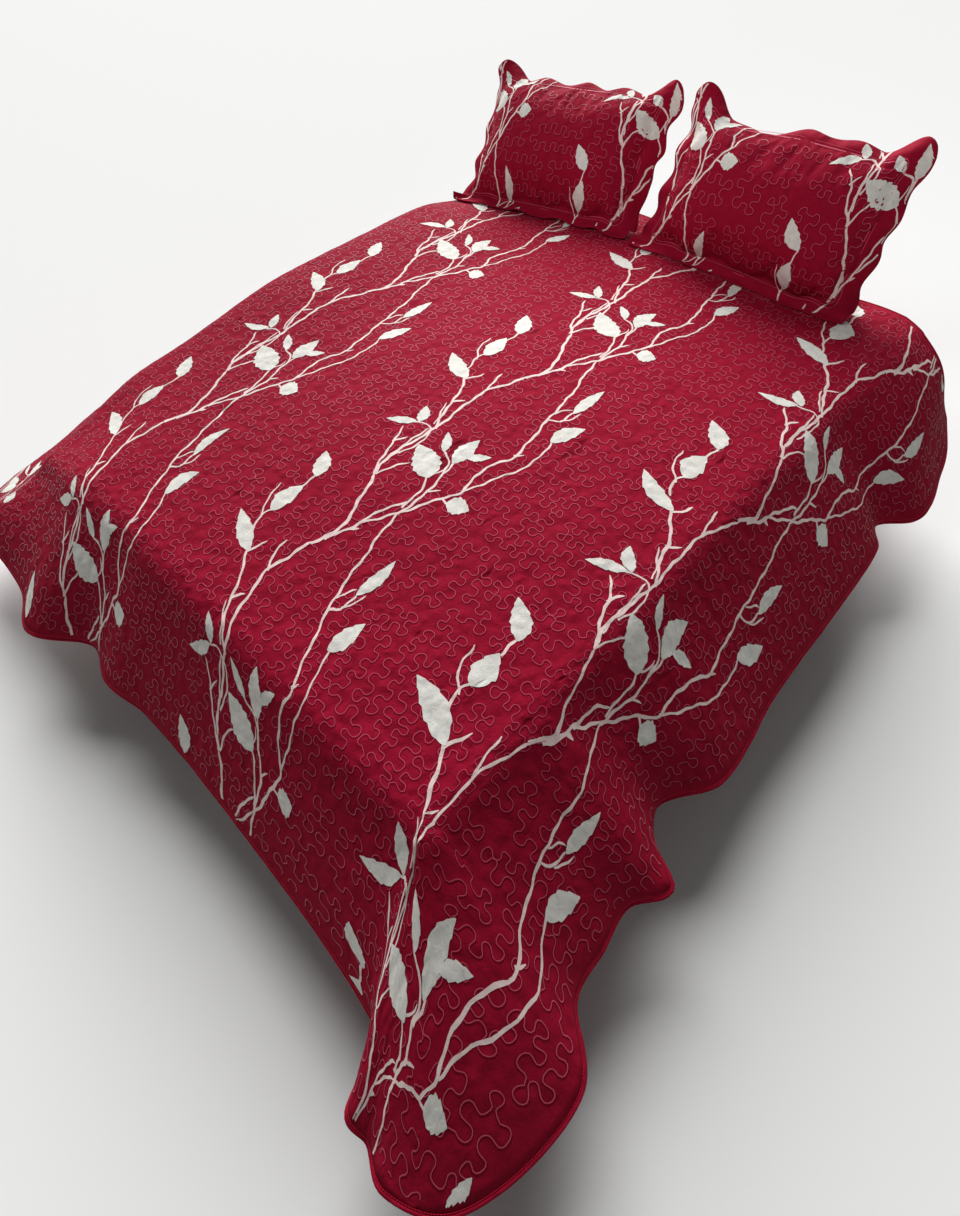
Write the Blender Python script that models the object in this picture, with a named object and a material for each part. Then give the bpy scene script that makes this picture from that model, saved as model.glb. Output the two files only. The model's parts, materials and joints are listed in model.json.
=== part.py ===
"""A quilt set on a bed: a quilted bedspread with its binding, two quilted shams, and the plain bed under them.

Metres, +Z up. The origin is on the floor under the middle of the bed, the foot of the bed points to -Y and
the head to +Y. The quilt hangs over the foot and both sides, and its head edge lies on the mattress.
"""

import math

import bpy
from mathutils import Vector

# Bed
BED_HALF_WIDTH = 0.900
BED_FOOT_Y = -1.000
BED_HEAD_Y = 1.170
TOP_Z = 0.600
MATTRESS_BOTTOM_Z = 0.300
BASE_BOTTOM_Z = 0.100
BASE_INSET = 0.030
PLINTH_INSET = 0.260
MATTRESS_EDGE_RADIUS = 0.025
TOUCH_GAP = 0.0003

# Crown of the made bed: how far the top falls from its middle to its edges
CROWN_SIDE_DROP = 0.055
CROWN_FOOT_DROP = 0.055
CROWN_HEAD_DROP = 0.030
CROWN_CENTRE_Y = 0.100

# Where the made bed lies higher or lower than an even crown. Each swell grows over a stretch of x and of y,
# and goes again over the last stretch of y. The columns are name, height, x starts, x full, y starts, y full,
# y still full, y gone.
SWELLS = (
    ("full left side", 0.045, -0.300, -0.850, -0.550, 0.050, 0.620, 0.920),
    ("full head corner, right", 0.038, 0.480, 0.820, 0.700, 1.050, 1.500, 2.000),
    ("soft far corner at the foot", -0.075, -0.500, -0.920, -0.520, -0.970, -1.500, -2.000),
)

# Quilt
QUILT_THICKNESS = 0.005
QUILT_HEAD_Y = 1.150
SHOULDER_RADIUS = 0.085
SEAT_GAP = 0.0007
SHOULDER_CLEARANCE = 0.004
TOP_WAVE_HEIGHT = 0.006
TOP_WAVE_LENGTH = 0.520
WAVES_END_Y = 0.800
FOLD_DEEPENING = 1.500
FOLD_SPREAD = 0.220
HEAD_BELLY = 0.032
HEAD_BELLY_FULL = 0.150
HEAD_BELLY_END = 0.550
HEAD_BELLY_LIFT = 0.500
BINDING_WIDTH = 0.010
BINDING_THICKNESS = 0.008
BINDING_GAP = 0.0010

# Mesh steps
TOP_COLUMNS = 20
TOP_ROWS = 24
DROP_STEPS = 9
SHOULDER_STEPS = 4
SHOULDER_SHARE = 0.22
CORNER_SPAN = 0.600

# Each row is a place on the hem. "along" is the place on the bed's edge that it hangs from: Y on the two
# sides, X at the foot, and 0 to 1 round a corner, from the side to the foot on the right and back on the left.
# The hem hangs at x, y, z. The columns are fold, edge, along, x, y, z.
HEM = (
    ("head corner, right", "right", 1.150, 1.075, 1.105, 0.350),
    ("head corner, rounding", "right", 1.080, 1.135, 1.035, 0.295),
    ("ear, far side", "right", 0.980, 1.165, 0.945, 0.268),
    ("ear", "right", 0.860, 1.192, 0.835, 0.255),
    ("ear, near side", "right", 0.750, 1.182, 0.745, 0.250),
    ("valley behind the overlap", "right", 0.655, 1.108, 0.655, 0.250),
    ("overlapping ridge", "right", 0.560, 1.150, 0.565, 0.250),
    ("side, straight", "right", 0.300, 1.166, 0.300, 0.250),
    ("side, middle", "right", -0.060, 1.176, -0.060, 0.250),
    ("side, near", "right", -0.330, 1.203, -0.345, 0.250),
    ("behind the ridge", "right", -0.490, 1.125, -0.500, 0.262),
    ("ridge, far face", "right", -0.560, 1.165, -0.575, 0.255),
    ("ridge", "right", -0.620, 1.254, -0.628, 0.250),
    ("ridge, near face", "right", -0.720, 1.206, -0.722, 0.250),
    ("valley", "right", -0.830, 1.219, -0.830, 0.245),
    ("valley at the corner", "near corner", 0.000, 1.236, -0.937, 0.240),
    ("tongue, right lobe", "near corner", 0.160, 1.336, -1.035, 0.225),
    ("tongue, right edge", "near corner", 0.290, 1.340, -1.186, 0.215),
    ("tongue, tip", "near corner", 0.430, 1.286, -1.340, 0.210),
    ("tongue, left of tip", "near corner", 0.560, 1.178, -1.402, 0.212),
    ("tongue, hollow", "near corner", 0.680, 1.105, -1.378, 0.203),
    ("tongue, left lobe", "near corner", 0.800, 1.046, -1.374, 0.226),
    ("tongue, flank", "near corner", 0.910, 1.004, -1.292, 0.226),
    ("foot, near end", "near corner", 1.000, 0.966, -1.238, 0.240),
    ("foot, near", "foot", 0.500, 0.529, -1.205, 0.250),
    ("foot, middle", "foot", 0.050, 0.040, -1.202, 0.250),
    ("foot, small flute", "foot", -0.140, -0.148, -1.230, 0.245),
    ("foot, step", "foot", -0.260, -0.275, -1.197, 0.252),
    ("foot, fold", "foot", -0.450, -0.470, -1.306, 0.242),
    ("foot, behind the fold", "foot", -0.600, -0.625, -1.250, 0.250),
    ("foot, far end", "far corner", 0.000, -0.930, -1.250, 0.245),
    ("far tongue, foot side", "far corner", 0.250, -1.045, -1.310, 0.195),
    ("far tongue, tip", "far corner", 0.480, -1.130, -1.255, 0.165),
    ("far tongue, side", "far corner", 0.720, -1.165, -1.115, 0.190),
    ("left valley", "far corner", 1.000, -1.125, -0.935, 0.240),
    ("left flute 1", "left", -0.600, -1.215, -0.610, 0.248),
    ("left hollow 1", "left", -0.330, -1.130, -0.330, 0.255),
    ("left flute 2", "left", -0.040, -1.195, -0.040, 0.250),
    ("left hollow 2", "left", 0.260, -1.135, 0.260, 0.256),
    ("left flute 3", "left", 0.560, -1.190, 0.565, 0.250),
    ("left hollow 3", "left", 0.810, -1.140, 0.815, 0.258),
    ("left flute 4", "left", 0.990, -1.175, 0.960, 0.268),
    ("head corner, left rounding", "left", 1.080, -1.140, 1.040, 0.295),
    ("head corner, left", "left", 1.150, -1.080, 1.110, 0.350),
)

# Shams: foot is the middle of the lower edge, turn is about the vertical, lean is from the level
SHAM_WIDTH = 0.735
SHAM_HEIGHT = 0.492
SHAM_HALF_FILL = 0.076
SHAM_FLANGE_THICKNESS = 0.006
SHAM_COLUMNS = 30
SHAM_ROWS = 22
SEAM_ACROSS = 0.845
SEAM_UP = 0.800
EAR_RADIUS = 0.048
EDGE_PULL = 0.026
EDGE_WAVE = 0.006
SIDE_WAVE_LENGTH = 0.125
TOP_WAVE_PITCH = 0.165
EDGE_PULL_UP = 0.800
SIDE_EDGE_STARTS = 0.840
SIDE_EDGE_FULL = 0.500
TOP_EDGE_STARTS = 0.880
TOP_EDGE_FULL = 0.620
DIP_PLACE = -0.450
DIP_WIDTH = 0.300
FILL_SQUARE_ACROSS = 3.600
FILL_SQUARE_UP = 2.800
FILL_ROUNDING = 0.520
SHAM_TABLE = (
    # name, foot x, foot y, turn degrees, lean degrees, dip of the top edge, spread of the lower left ear
    ("sham_left", -0.468, 0.922, 9.5, 54.0, 0.020, 0.015),
    ("sham_right", 0.328, 0.990, 3.5, 68.0, 0.050, 0.045),
)


def clear_scene():
    for old in list(bpy.data.objects):
        bpy.data.objects.remove(old, do_unlink=True)


def finish(name, colour, roughness, sheen=0.0):
    material = bpy.data.materials.new(name)
    material.use_nodes = True
    shader = material.node_tree.nodes["Principled BSDF"]
    shader.inputs["Base Color"].default_value = (*colour, 1.0)
    shader.inputs["Roughness"].default_value = roughness
    shader.inputs["Metallic"].default_value = 0.0
    shader.inputs["Sheen Weight"].default_value = sheen
    return material


def mesh_object(name, points, faces, material):
    mesh = bpy.data.meshes.new(name)
    mesh.from_pydata([tuple(p) for p in points], [], faces)
    mesh.validate()
    mesh.materials.append(material)
    mesh.shade_smooth()
    obj = bpy.data.objects.new(name, mesh)
    bpy.context.scene.collection.objects.link(obj)
    return obj


def ease(value):
    value = min(max(value, 0.0), 1.0)
    return value * value * (3.0 - 2.0 * value)


def between(value, start, full):
    """0 at the start and 1 where it is full, eased."""
    return ease((value - start) / (full - start))


def spaced(start, end, steps):
    return [start + (end - start) * i / steps for i in range(steps + 1)]


# Where the flat top ends and the shoulder starts
EDGE_X = BED_HALF_WIDTH - SHOULDER_RADIUS
EDGE_Y = BED_FOOT_Y + SHOULDER_RADIUS
SIDE_LENGTH = QUILT_HEAD_Y - EDGE_Y
FOOT_LENGTH = 2.0 * EDGE_X

# The lines of the bed's top that the quilt and the mattress both follow
COLUMNS = spaced(-EDGE_X, EDGE_X, TOP_COLUMNS)
ROWS = spaced(EDGE_Y, BED_HEAD_Y - SHOULDER_RADIUS, TOP_ROWS - 1)


def edge_distance(edge, along):
    """Distance round the bed's edge from the head on the right, with each corner counted as CORNER_SPAN."""
    if edge == "right":
        return QUILT_HEAD_Y - along
    if edge == "near corner":
        return SIDE_LENGTH + CORNER_SPAN * along
    if edge == "foot":
        return SIDE_LENGTH + CORNER_SPAN + EDGE_X - along
    if edge == "far corner":
        return SIDE_LENGTH + CORNER_SPAN + FOOT_LENGTH + CORNER_SPAN * along
    return SIDE_LENGTH + 2.0 * CORNER_SPAN + FOOT_LENGTH + along - EDGE_Y


HEM_PLACES = [(edge_distance(row[1], row[2]), Vector(row[3:])) for row in HEM]


def hem_point(distance):
    """Smooth curve through the hem's places."""
    last = len(HEM_PLACES) - 2
    k = 0
    while k < last and HEM_PLACES[k + 1][0] < distance:
        k += 1
    here, after = HEM_PLACES[k], HEM_PLACES[k + 1]
    before = HEM_PLACES[max(k - 1, 0)]
    beyond = HEM_PLACES[min(k + 2, last + 1)]
    span = after[0] - here[0]
    slope_here = (after[1] - before[1]) * (span / (after[0] - before[0]))
    slope_after = (beyond[1] - here[1]) * (span / (beyond[0] - here[0]))
    t = min(max((distance - here[0]) / span, 0.0), 1.0)
    t2, t3 = t * t, t * t * t
    return (here[1] * (2 * t3 - 3 * t2 + 1) + slope_here * (t3 - 2 * t2 + t)
            + after[1] * (3 * t2 - 2 * t3) + slope_after * (t3 - t2))


def smooth_hem_point(distance):
    """The hem with its folds evened out, which the cloth follows near the bed's edge."""
    total = Vector((0.0, 0.0, 0.0))
    steps = 2
    end = HEM_PLACES[-1][0]
    for k in range(-steps, steps + 1):
        total += hem_point(min(max(distance + FOLD_SPREAD * k / steps, 0.0), end))
    return total / (2 * steps + 1)


def crown(x, y):
    """How far the made bed falls from its middle to a place on its top."""
    across = min(abs(x) / BED_HALF_WIDTH, 1.0)
    if y < CROWN_CENTRE_Y:
        along = min((CROWN_CENTRE_Y - y) / (CROWN_CENTRE_Y - BED_FOOT_Y), 1.0)
        return CROWN_SIDE_DROP * across * across + CROWN_FOOT_DROP * along * along
    along = (y - CROWN_CENTRE_Y) / (BED_HEAD_Y - CROWN_CENTRE_Y)
    return CROWN_SIDE_DROP * across * across + CROWN_HEAD_DROP * along * along


def swell(x, y):
    """How much higher the cloth lies than on an even crown."""
    return sum(height * between(x, x_start, x_full) * between(y, y_start, y_full) * between(y, y_gone, y_last)
               for _, height, x_start, x_full, y_start, y_full, y_last, y_gone in SWELLS)


def top_wave(x, y):
    """Soft lifts of the cloth where it lies loose on the mattress, none under the shams or at the edges."""
    turn = 2.0 * math.pi / TOP_WAVE_LENGTH
    swell = 0.5 + 0.5 * math.sin(turn * (0.8 * x + 0.6 * y)) * math.sin(turn * 0.7 * (y - 0.5 * x) + 1.0)
    inside = ease((EDGE_X - abs(x)) / 0.15) * ease((y - EDGE_Y) / 0.15) * ease((WAVES_END_Y - y) / 0.2)
    return TOP_WAVE_HEIGHT * swell * swell * inside


def top_height(x, y):
    return TOP_Z - crown(x, y) + swell(x, y)


def laid_height(x, y):
    """Height of the quilt's middle, straight between its lines."""
    step_x, step_y = COLUMNS[1] - COLUMNS[0], ROWS[1] - ROWS[0]
    i = min(max(int((x + EDGE_X) / step_x), 0), TOP_COLUMNS - 1)
    j = min(max(int((y - EDGE_Y) / step_y), 0), TOP_ROWS - 2)
    s, t = (x - COLUMNS[i]) / step_x, (y - ROWS[j]) / step_y
    near = top_height(COLUMNS[i], ROWS[j]) * (1.0 - s) + top_height(COLUMNS[i + 1], ROWS[j]) * s
    far = top_height(COLUMNS[i], ROWS[j + 1]) * (1.0 - s) + top_height(COLUMNS[i + 1], ROWS[j + 1]) * s
    return near * (1.0 - t) + far * t


def fall_point(base_x, base_y, place, share):
    """A point on one fall line: over the shoulder first, then straight to the evened hem, with the folds added."""
    hem = smooth_hem_point(place)
    fold = (hem_point(place) - hem) * share ** FOLD_DEEPENING
    out = Vector((hem.x - base_x, hem.y - base_y, 0.0))
    reach = out.length
    out.normalize()
    depth = TOP_Z - hem.z
    bend = (math.asin(SHOULDER_RADIUS / math.hypot(reach, depth - SHOULDER_RADIUS))
            + math.atan2(depth - SHOULDER_RADIUS, reach))
    if share < SHOULDER_SHARE:
        angle = bend * share / SHOULDER_SHARE
        run = SHOULDER_RADIUS * math.sin(angle)
        fall = SHOULDER_RADIUS * (1.0 - math.cos(angle))
    else:
        down = (share - SHOULDER_SHARE) / (1.0 - SHOULDER_SHARE)
        start_run = SHOULDER_RADIUS * math.sin(bend)
        start_fall = SHOULDER_RADIUS * (1.0 - math.cos(bend))
        run = start_run + (reach - start_run) * down
        fall = start_fall + (depth - start_fall) * down
    belly = HEAD_BELLY * between(place, HEAD_BELLY_END, HEAD_BELLY_FULL) * math.sin(math.pi * share) ** 2
    run += belly
    x = base_x + out.x * run
    y = base_y + out.y * run
    z = TOP_Z - fall - crown(x, y) * between(share, 1.0, 0.0) + swell(x, y) * between(share, 1.0, SHOULDER_SHARE)
    return Vector((x, y, z + HEAD_BELLY_LIFT * belly)) + fold


def quilt_grid():
    """Rows from the foot hem to the head edge, each from the left hem to the right hem."""
    shares = [SHOULDER_SHARE * i / SHOULDER_STEPS for i in range(SHOULDER_STEPS)]
    shares += spaced(SHOULDER_SHARE, 1.0, DROP_STEPS - SHOULDER_STEPS)
    rows = ROWS + [QUILT_HEAD_Y]
    grid = []
    for j in range(-DROP_STEPS, TOP_ROWS + 1):
        line = []
        for i in range(-DROP_STEPS, TOP_COLUMNS + DROP_STEPS + 1):
            side = max(-i, i - TOP_COLUMNS, 0)
            foot = max(-j, 0)
            x = COLUMNS[min(max(i, 0), TOP_COLUMNS)]
            y = rows[max(j, 0)]
            on_right = i > TOP_COLUMNS // 2
            if not side and not foot:
                line.append(Vector((x, y, top_height(x, y) + top_wave(x, y))))
                continue
            if not foot:
                place = edge_distance("right" if on_right else "left", y)
            elif not side:
                place = edge_distance("foot", x)
            else:
                turn = foot / (2.0 * side) if side >= foot else 1.0 - side / (2.0 * foot)
                place = (edge_distance("near corner", turn) if on_right
                         else edge_distance("far corner", 1.0 - turn))
            line.append(fall_point(x, y, place, shares[max(side, foot)]))
        grid.append(line)
    return grid


def grid_normals(grid):
    height, width = len(grid), len(grid[0])
    normals = []
    for j in range(height):
        line = []
        for i in range(width):
            across = grid[j][min(i + 1, width - 1)] - grid[j][max(i - 1, 0)]
            along = grid[min(j + 1, height - 1)][i] - grid[max(j - 1, 0)][i]
            line.append(across.cross(along).normalized())
        normals.append(line)
    return normals


def rim_places(width, height):
    """Grid places round the sheet's edge, in order."""
    places = [(i, 0) for i in range(width)]
    places += [(width - 1, j) for j in range(1, height)]
    places += [(i, height - 1) for i in range(width - 2, -1, -1)]
    places += [(0, j) for j in range(height - 2, 0, -1)]
    return places


def thick_sheet(name, grid, normals, thickness, material):
    """One closed sheet, with half its thickness on each side of the grid."""
    height, width = len(grid), len(grid[0])
    count = height * width
    half = thickness / 2.0
    points = [grid[j][i] + normals[j][i] * half for j in range(height) for i in range(width)]
    points += [grid[j][i] - normals[j][i] * half for j in range(height) for i in range(width)]
    faces = []
    for j in range(height - 1):
        for i in range(width - 1):
            a = j * width + i
            b, c, d = a + 1, a + width + 1, a + width
            faces.append((a, b, c, d))
            faces.append((a + count, d + count, c + count, b + count))
    places = rim_places(width, height)
    middle = len(points)
    points += [grid[j][i] for i, j in places]
    for k, (i, j) in enumerate(places):
        after = (k + 1) % len(places)
        here_up = j * width + i
        after_up = places[after][1] * width + places[after][0]
        faces.append((here_up, middle + k, middle + after, after_up))
        faces.append((middle + k, here_up + count, after_up + count, middle + after))
    return mesh_object(name, points, faces, material)


def make_quilt(grid, normals):
    cloth = finish("quilted_cotton", (0.325, 0.013, 0.033), 0.75, 0.3)
    return thick_sheet("quilt", grid, normals, QUILT_THICKNESS, cloth)


def make_binding(grid, normals):
    """The rolled edge that is sewn round the quilt, four-sided, just off the quilt's rim."""
    height, width = len(grid), len(grid[0])
    places = rim_places(width, height)
    total = len(places)
    points = []
    for k, (i, j) in enumerate(places):
        before = places[k - 1]
        after = places[(k + 1) % total]
        run = (grid[after[1]][after[0]] - grid[before[1]][before[0]]).normalized()
        up = normals[j][i]
        out = run.cross(up).normalized()
        start = grid[j][i] + out * BINDING_GAP
        middle = start + out * BINDING_WIDTH * 0.55
        end = start + out * BINDING_WIDTH
        half = up * (BINDING_THICKNESS / 2.0)
        points += [start, middle + half, end, middle - half]
    faces = []
    for k in range(total):
        here, after = 4 * k, 4 * ((k + 1) % total)
        for side in range(4):
            turn = (side + 1) % 4
            faces.append((here + side, here + turn, after + turn, after + side))
    braid = finish("cotton_binding", (0.36, 0.012, 0.035), 0.7, 0.2)
    return mesh_object("quilt_binding", points, faces, braid)


def make_mattress():
    """The mattress, its top crowned as the quilt lies and its shoulder just inside the quilt's."""
    reach = QUILT_THICKNESS / 2.0
    inner = SHOULDER_RADIUS - reach - SHOULDER_CLEARANCE
    rings = SHOULDER_STEPS
    grid = []
    for j in range(-rings, TOP_ROWS + rings):
        line = []
        for i in range(-rings, TOP_COLUMNS + 1 + rings):
            side = max(-i, i - TOP_COLUMNS, 0)
            end = max(-j, j - TOP_ROWS + 1, 0)
            x = COLUMNS[min(max(i, 0), TOP_COLUMNS)]
            y = ROWS[min(max(j, 0), TOP_ROWS - 1)]
            ring = max(side, end)
            angle = 0.5 * math.pi * ring / rings
            if ring:
                turn = 0.25 * math.pi * (end / side if side >= end else 2.0 - side / end)
                x += math.copysign(inner * math.sin(angle) * math.cos(turn), i) if side else 0.0
                y += math.copysign(inner * math.sin(angle) * math.sin(turn), j) if end else 0.0
            fall = inner * (1.0 - math.cos(angle)) + ring / rings * SHOULDER_CLEARANCE
            z = top_height(x, y) - reach - SEAT_GAP - fall
            line.append(Vector((x, y, z)))
        grid.append(line)
    height, width = len(grid), len(grid[0])
    points = [p for line in grid for p in line]
    faces = [(j * width + i, j * width + i + 1, (j + 1) * width + i + 1, (j + 1) * width + i)
             for j in range(height - 1) for i in range(width - 1)]
    rim = [j * width + i for i, j in rim_places(width, height)]
    above = rim
    for inset, z in ((0.0, MATTRESS_BOTTOM_Z + MATTRESS_EDGE_RADIUS), (MATTRESS_EDGE_RADIUS, MATTRESS_BOTTOM_Z)):
        ring = []
        for place in rim:
            p = points[place]
            x = p.x - math.copysign(min(inset, abs(p.x)), p.x)
            y = p.y - math.copysign(min(inset, abs(p.y)), p.y)
            ring.append(len(points))
            points.append(Vector((x, y, z)))
        for k in range(len(rim)):
            after = (k + 1) % len(rim)
            faces.append((above[k], ring[k], ring[after], above[after]))
        above = ring
    faces.append(tuple(reversed(above)))
    ticking = finish("mattress_ticking", (0.80, 0.79, 0.76), 0.85, 0.2)
    return mesh_object("mattress", points, faces, ticking)


def make_block(name, inset, bottom, top, bevel, material):
    """A plain box under the mattress, its upright and lower edges eased."""
    x = BED_HALF_WIDTH - inset
    y0, y1 = BED_FOOT_Y + inset, BED_HEAD_Y - inset
    corners = [(sx * x, y, z) for z in (bottom, top) for sx, y in ((-1, y0), (1, y0), (1, y1), (-1, y1))]
    faces = [(3, 2, 1, 0), (4, 5, 6, 7), (0, 1, 5, 4), (1, 2, 6, 5), (2, 3, 7, 6), (3, 0, 4, 7)]
    block = mesh_object(name, corners, faces, material)
    easing = block.modifiers.new("Eased edges", "BEVEL")
    easing.width = bevel
    easing.segments = 2
    return block


def sham_outline(across, up, dip, spread):
    """The sham laid flat, as shares -1 to 1: rounded ears at the corners, and edges that pull in and wave."""
    x = across * SHAM_WIDTH / 2.0
    y = up * SHAM_HEIGHT / 2.0
    inner_x = SHAM_WIDTH / 2.0 - EAR_RADIUS
    inner_y = SHAM_HEIGHT / 2.0 - EAR_RADIUS
    over_x = (abs(x) - inner_x) / EAR_RADIUS
    over_y = (abs(y) - inner_y) / EAR_RADIUS
    if over_x > 0.0 and over_y > 0.0:
        x = math.copysign(inner_x + EAR_RADIUS * over_x * math.sqrt(1.0 - over_y ** 2 / 2.0), across)
        y = math.copysign(inner_y + EAR_RADIUS * over_y * math.sqrt(1.0 - over_x ** 2 / 2.0), up)
    along_side = between(abs(up), SIDE_EDGE_STARTS, SIDE_EDGE_FULL)
    along_top = between(abs(across), TOP_EDGE_STARTS, TOP_EDGE_FULL)
    pull_x = EDGE_PULL + EDGE_WAVE * math.cos(math.pi * up * SHAM_HEIGHT / SIDE_WAVE_LENGTH)
    x -= math.copysign(pull_x * along_side * abs(across) ** 4, across)
    if up > 0.0:
        pull_y = EDGE_PULL_UP * EDGE_PULL - EDGE_WAVE * math.cos(math.pi * across * SHAM_WIDTH / TOP_WAVE_PITCH)
        pull_y = pull_y * along_top + dip * math.exp(-((across - DIP_PLACE) / DIP_WIDTH) ** 2)
        y -= pull_y * up ** 3
    return x - spread * max(-across, 0.0) * (0.5 - 0.5 * up), y


def sham_fill(across, up):
    """Half the thickness of the filled body, down to the flange at its seam."""
    across, up = abs(across) / SEAM_ACROSS, abs(up) / SEAM_UP
    if across >= 1.0 or up >= 1.0:
        return SHAM_FLANGE_THICKNESS / 2.0
    body = ((1.0 - across ** FILL_SQUARE_ACROSS) * (1.0 - up ** FILL_SQUARE_UP)) ** FILL_ROUNDING
    return SHAM_FLANGE_THICKNESS / 2.0 + SHAM_HALF_FILL * body


def make_sham(name, foot_x, foot_y, turn, lean, dip, spread, material):
    """A filled sham with its flange, leaning back, its lower edge on the quilt."""
    turn, lean = math.radians(turn), math.radians(lean)
    wide = Vector((math.cos(turn), math.sin(turn), 0.0))
    back = Vector((-math.sin(turn), math.cos(turn), 0.0))
    tall = back * math.cos(lean) + Vector((0.0, 0.0, math.sin(lean)))
    front = wide.cross(tall)
    lift = QUILT_THICKNESS / 2.0 + SHAM_FLANGE_THICKNESS / 2.0 * math.cos(lean) + 2.0 * TOUCH_GAP
    shares_x = spaced(-1.0, 1.0, SHAM_COLUMNS)
    shares_y = spaced(-1.0, 1.0, SHAM_ROWS)
    outline = [[sham_outline(a, b, dip, spread) for a in shares_x] for b in shares_y]
    lowest = min(y for line in outline for _, y in line)
    faces_points = []
    for sign in (1.0, -1.0):
        for b, line in zip(shares_y, outline):
            for a, (x, y) in zip(shares_x, line):
                ground = Vector((foot_x, foot_y, 0.0)) + wide * x
                ground.z = laid_height(ground.x, ground.y) + lift
                faces_points.append(ground + tall * (y - lowest) + front * (sign * sham_fill(a, b)))
    width, height = len(shares_x), len(shares_y)
    count = width * height
    faces = []
    for j in range(height - 1):
        for i in range(width - 1):
            a = j * width + i
            b, c, d = a + 1, a + width + 1, a + width
            faces.append((a, b, c, d))
            faces.append((a + count, d + count, c + count, b + count))
    rim = [j * width + i for i, j in rim_places(width, height)]
    for here, after in zip(rim, rim[1:] + rim[:1]):
        faces.append((here, here + count, after + count, after))
    return mesh_object(name, faces_points, faces, material)


def main():
    clear_scene()
    grid = quilt_grid()
    normals = grid_normals(grid)
    make_quilt(grid, normals)
    make_binding(grid, normals)
    make_mattress()
    make_block("bed_base", BASE_INSET, BASE_BOTTOM_Z, MATTRESS_BOTTOM_Z - TOUCH_GAP, 0.012,
               finish("base_fabric", (0.55, 0.53, 0.50), 0.9))
    make_block("bed_plinth", PLINTH_INSET, 0.0, BASE_BOTTOM_Z - TOUCH_GAP, 0.004,
               finish("painted_wood", (0.30, 0.27, 0.24), 0.6))
    sham_cloth = finish("quilted_sham_cotton", (0.325, 0.013, 0.033), 0.75, 0.3)
    for name, *places in SHAM_TABLE:
        make_sham(name, *places, sham_cloth.copy())


main()
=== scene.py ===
"""A printed, machine-quilted bedspread on a bed, with two matching shams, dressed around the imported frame."""

import json
import math
import random

import bpy
import numpy as np
from mathutils import Matrix, Vector, noise

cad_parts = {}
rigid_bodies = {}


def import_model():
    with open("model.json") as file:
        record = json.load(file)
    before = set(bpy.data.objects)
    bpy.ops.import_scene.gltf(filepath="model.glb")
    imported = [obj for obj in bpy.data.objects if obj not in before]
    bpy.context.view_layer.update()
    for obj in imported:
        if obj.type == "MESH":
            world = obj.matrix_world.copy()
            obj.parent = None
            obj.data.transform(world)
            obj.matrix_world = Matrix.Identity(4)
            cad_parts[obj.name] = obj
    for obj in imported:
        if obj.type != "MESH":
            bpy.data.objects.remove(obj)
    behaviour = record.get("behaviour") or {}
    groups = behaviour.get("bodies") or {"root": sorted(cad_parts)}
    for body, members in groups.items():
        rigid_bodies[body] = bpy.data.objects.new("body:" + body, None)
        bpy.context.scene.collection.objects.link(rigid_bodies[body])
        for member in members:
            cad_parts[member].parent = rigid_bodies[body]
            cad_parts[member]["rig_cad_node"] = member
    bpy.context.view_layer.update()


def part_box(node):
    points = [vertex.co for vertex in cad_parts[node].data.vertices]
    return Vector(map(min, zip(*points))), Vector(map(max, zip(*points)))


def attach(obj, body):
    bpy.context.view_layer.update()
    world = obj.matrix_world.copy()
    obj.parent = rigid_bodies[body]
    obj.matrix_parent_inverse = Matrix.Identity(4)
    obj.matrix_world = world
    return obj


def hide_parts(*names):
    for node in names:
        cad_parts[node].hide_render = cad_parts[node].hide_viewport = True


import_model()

bl_info = {
    "name": "Quilt set on a bed",
    "version": (1, 0, 0),
    "blender": (4, 5, 0),
    "location": "View3D > Sidebar > Quilt set",
    "description": "Makes a draped, printed and quilted bedspread with its shams and a plain bed",
    "category": "Add Mesh",
}

PHOTO_HEIGHT = 1216
MM = 0.001

# The bed and the cloth on it, in metres, as the part's own solids have them
BED_HALF_WIDTH = 0.900
BED_FOOT_Y = -1.000
BED_HEAD_Y = 1.170
TOP_Z = 0.600
CROWN_SIDE_DROP = 0.055
CROWN_FOOT_DROP = 0.055
CROWN_HEAD_DROP = 0.030
CROWN_CENTRE_Y = 0.100
HEAD_BELLY = 0.032
HEAD_BELLY_FULL = 0.150
HEAD_BELLY_END = 0.550
HEAD_BELLY_LIFT = 0.500
QUILT_HEAD_Y = 1.150
SHOULDER_RADIUS = 0.085
SHOULDER_SHARE = 0.22
FOLD_DEEPENING = 1.5
FOLD_SPREAD = 0.220
CORNER_SPAN = 0.600
DROP_LENGTH = 0.440
CORNER_LENGTH = 0.560
EDGE_X = BED_HALF_WIDTH - SHOULDER_RADIUS
EDGE_Y = BED_FOOT_Y + SHOULDER_RADIUS
SIDE_LENGTH = QUILT_HEAD_Y - EDGE_Y
FOOT_LENGTH = 2.0 * EDGE_X

# Where the made bed lies higher or lower than an even crown. Each swell grows over a stretch of x and of y,
# and goes again over the last stretch of y. The columns are name, height, x starts, x full, y starts, y full,
# y still full, y gone.
SWELLS = (
    ("full left side", 0.045, -0.300, -0.850, -0.550, 0.050, 0.620, 0.920),
    ("full head corner, right", 0.038, 0.480, 0.820, 0.700, 1.050, 1.500, 2.000),
    ("soft far corner at the foot", -0.075, -0.500, -0.920, -0.520, -0.970, -1.500, -2.000),
)

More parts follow.
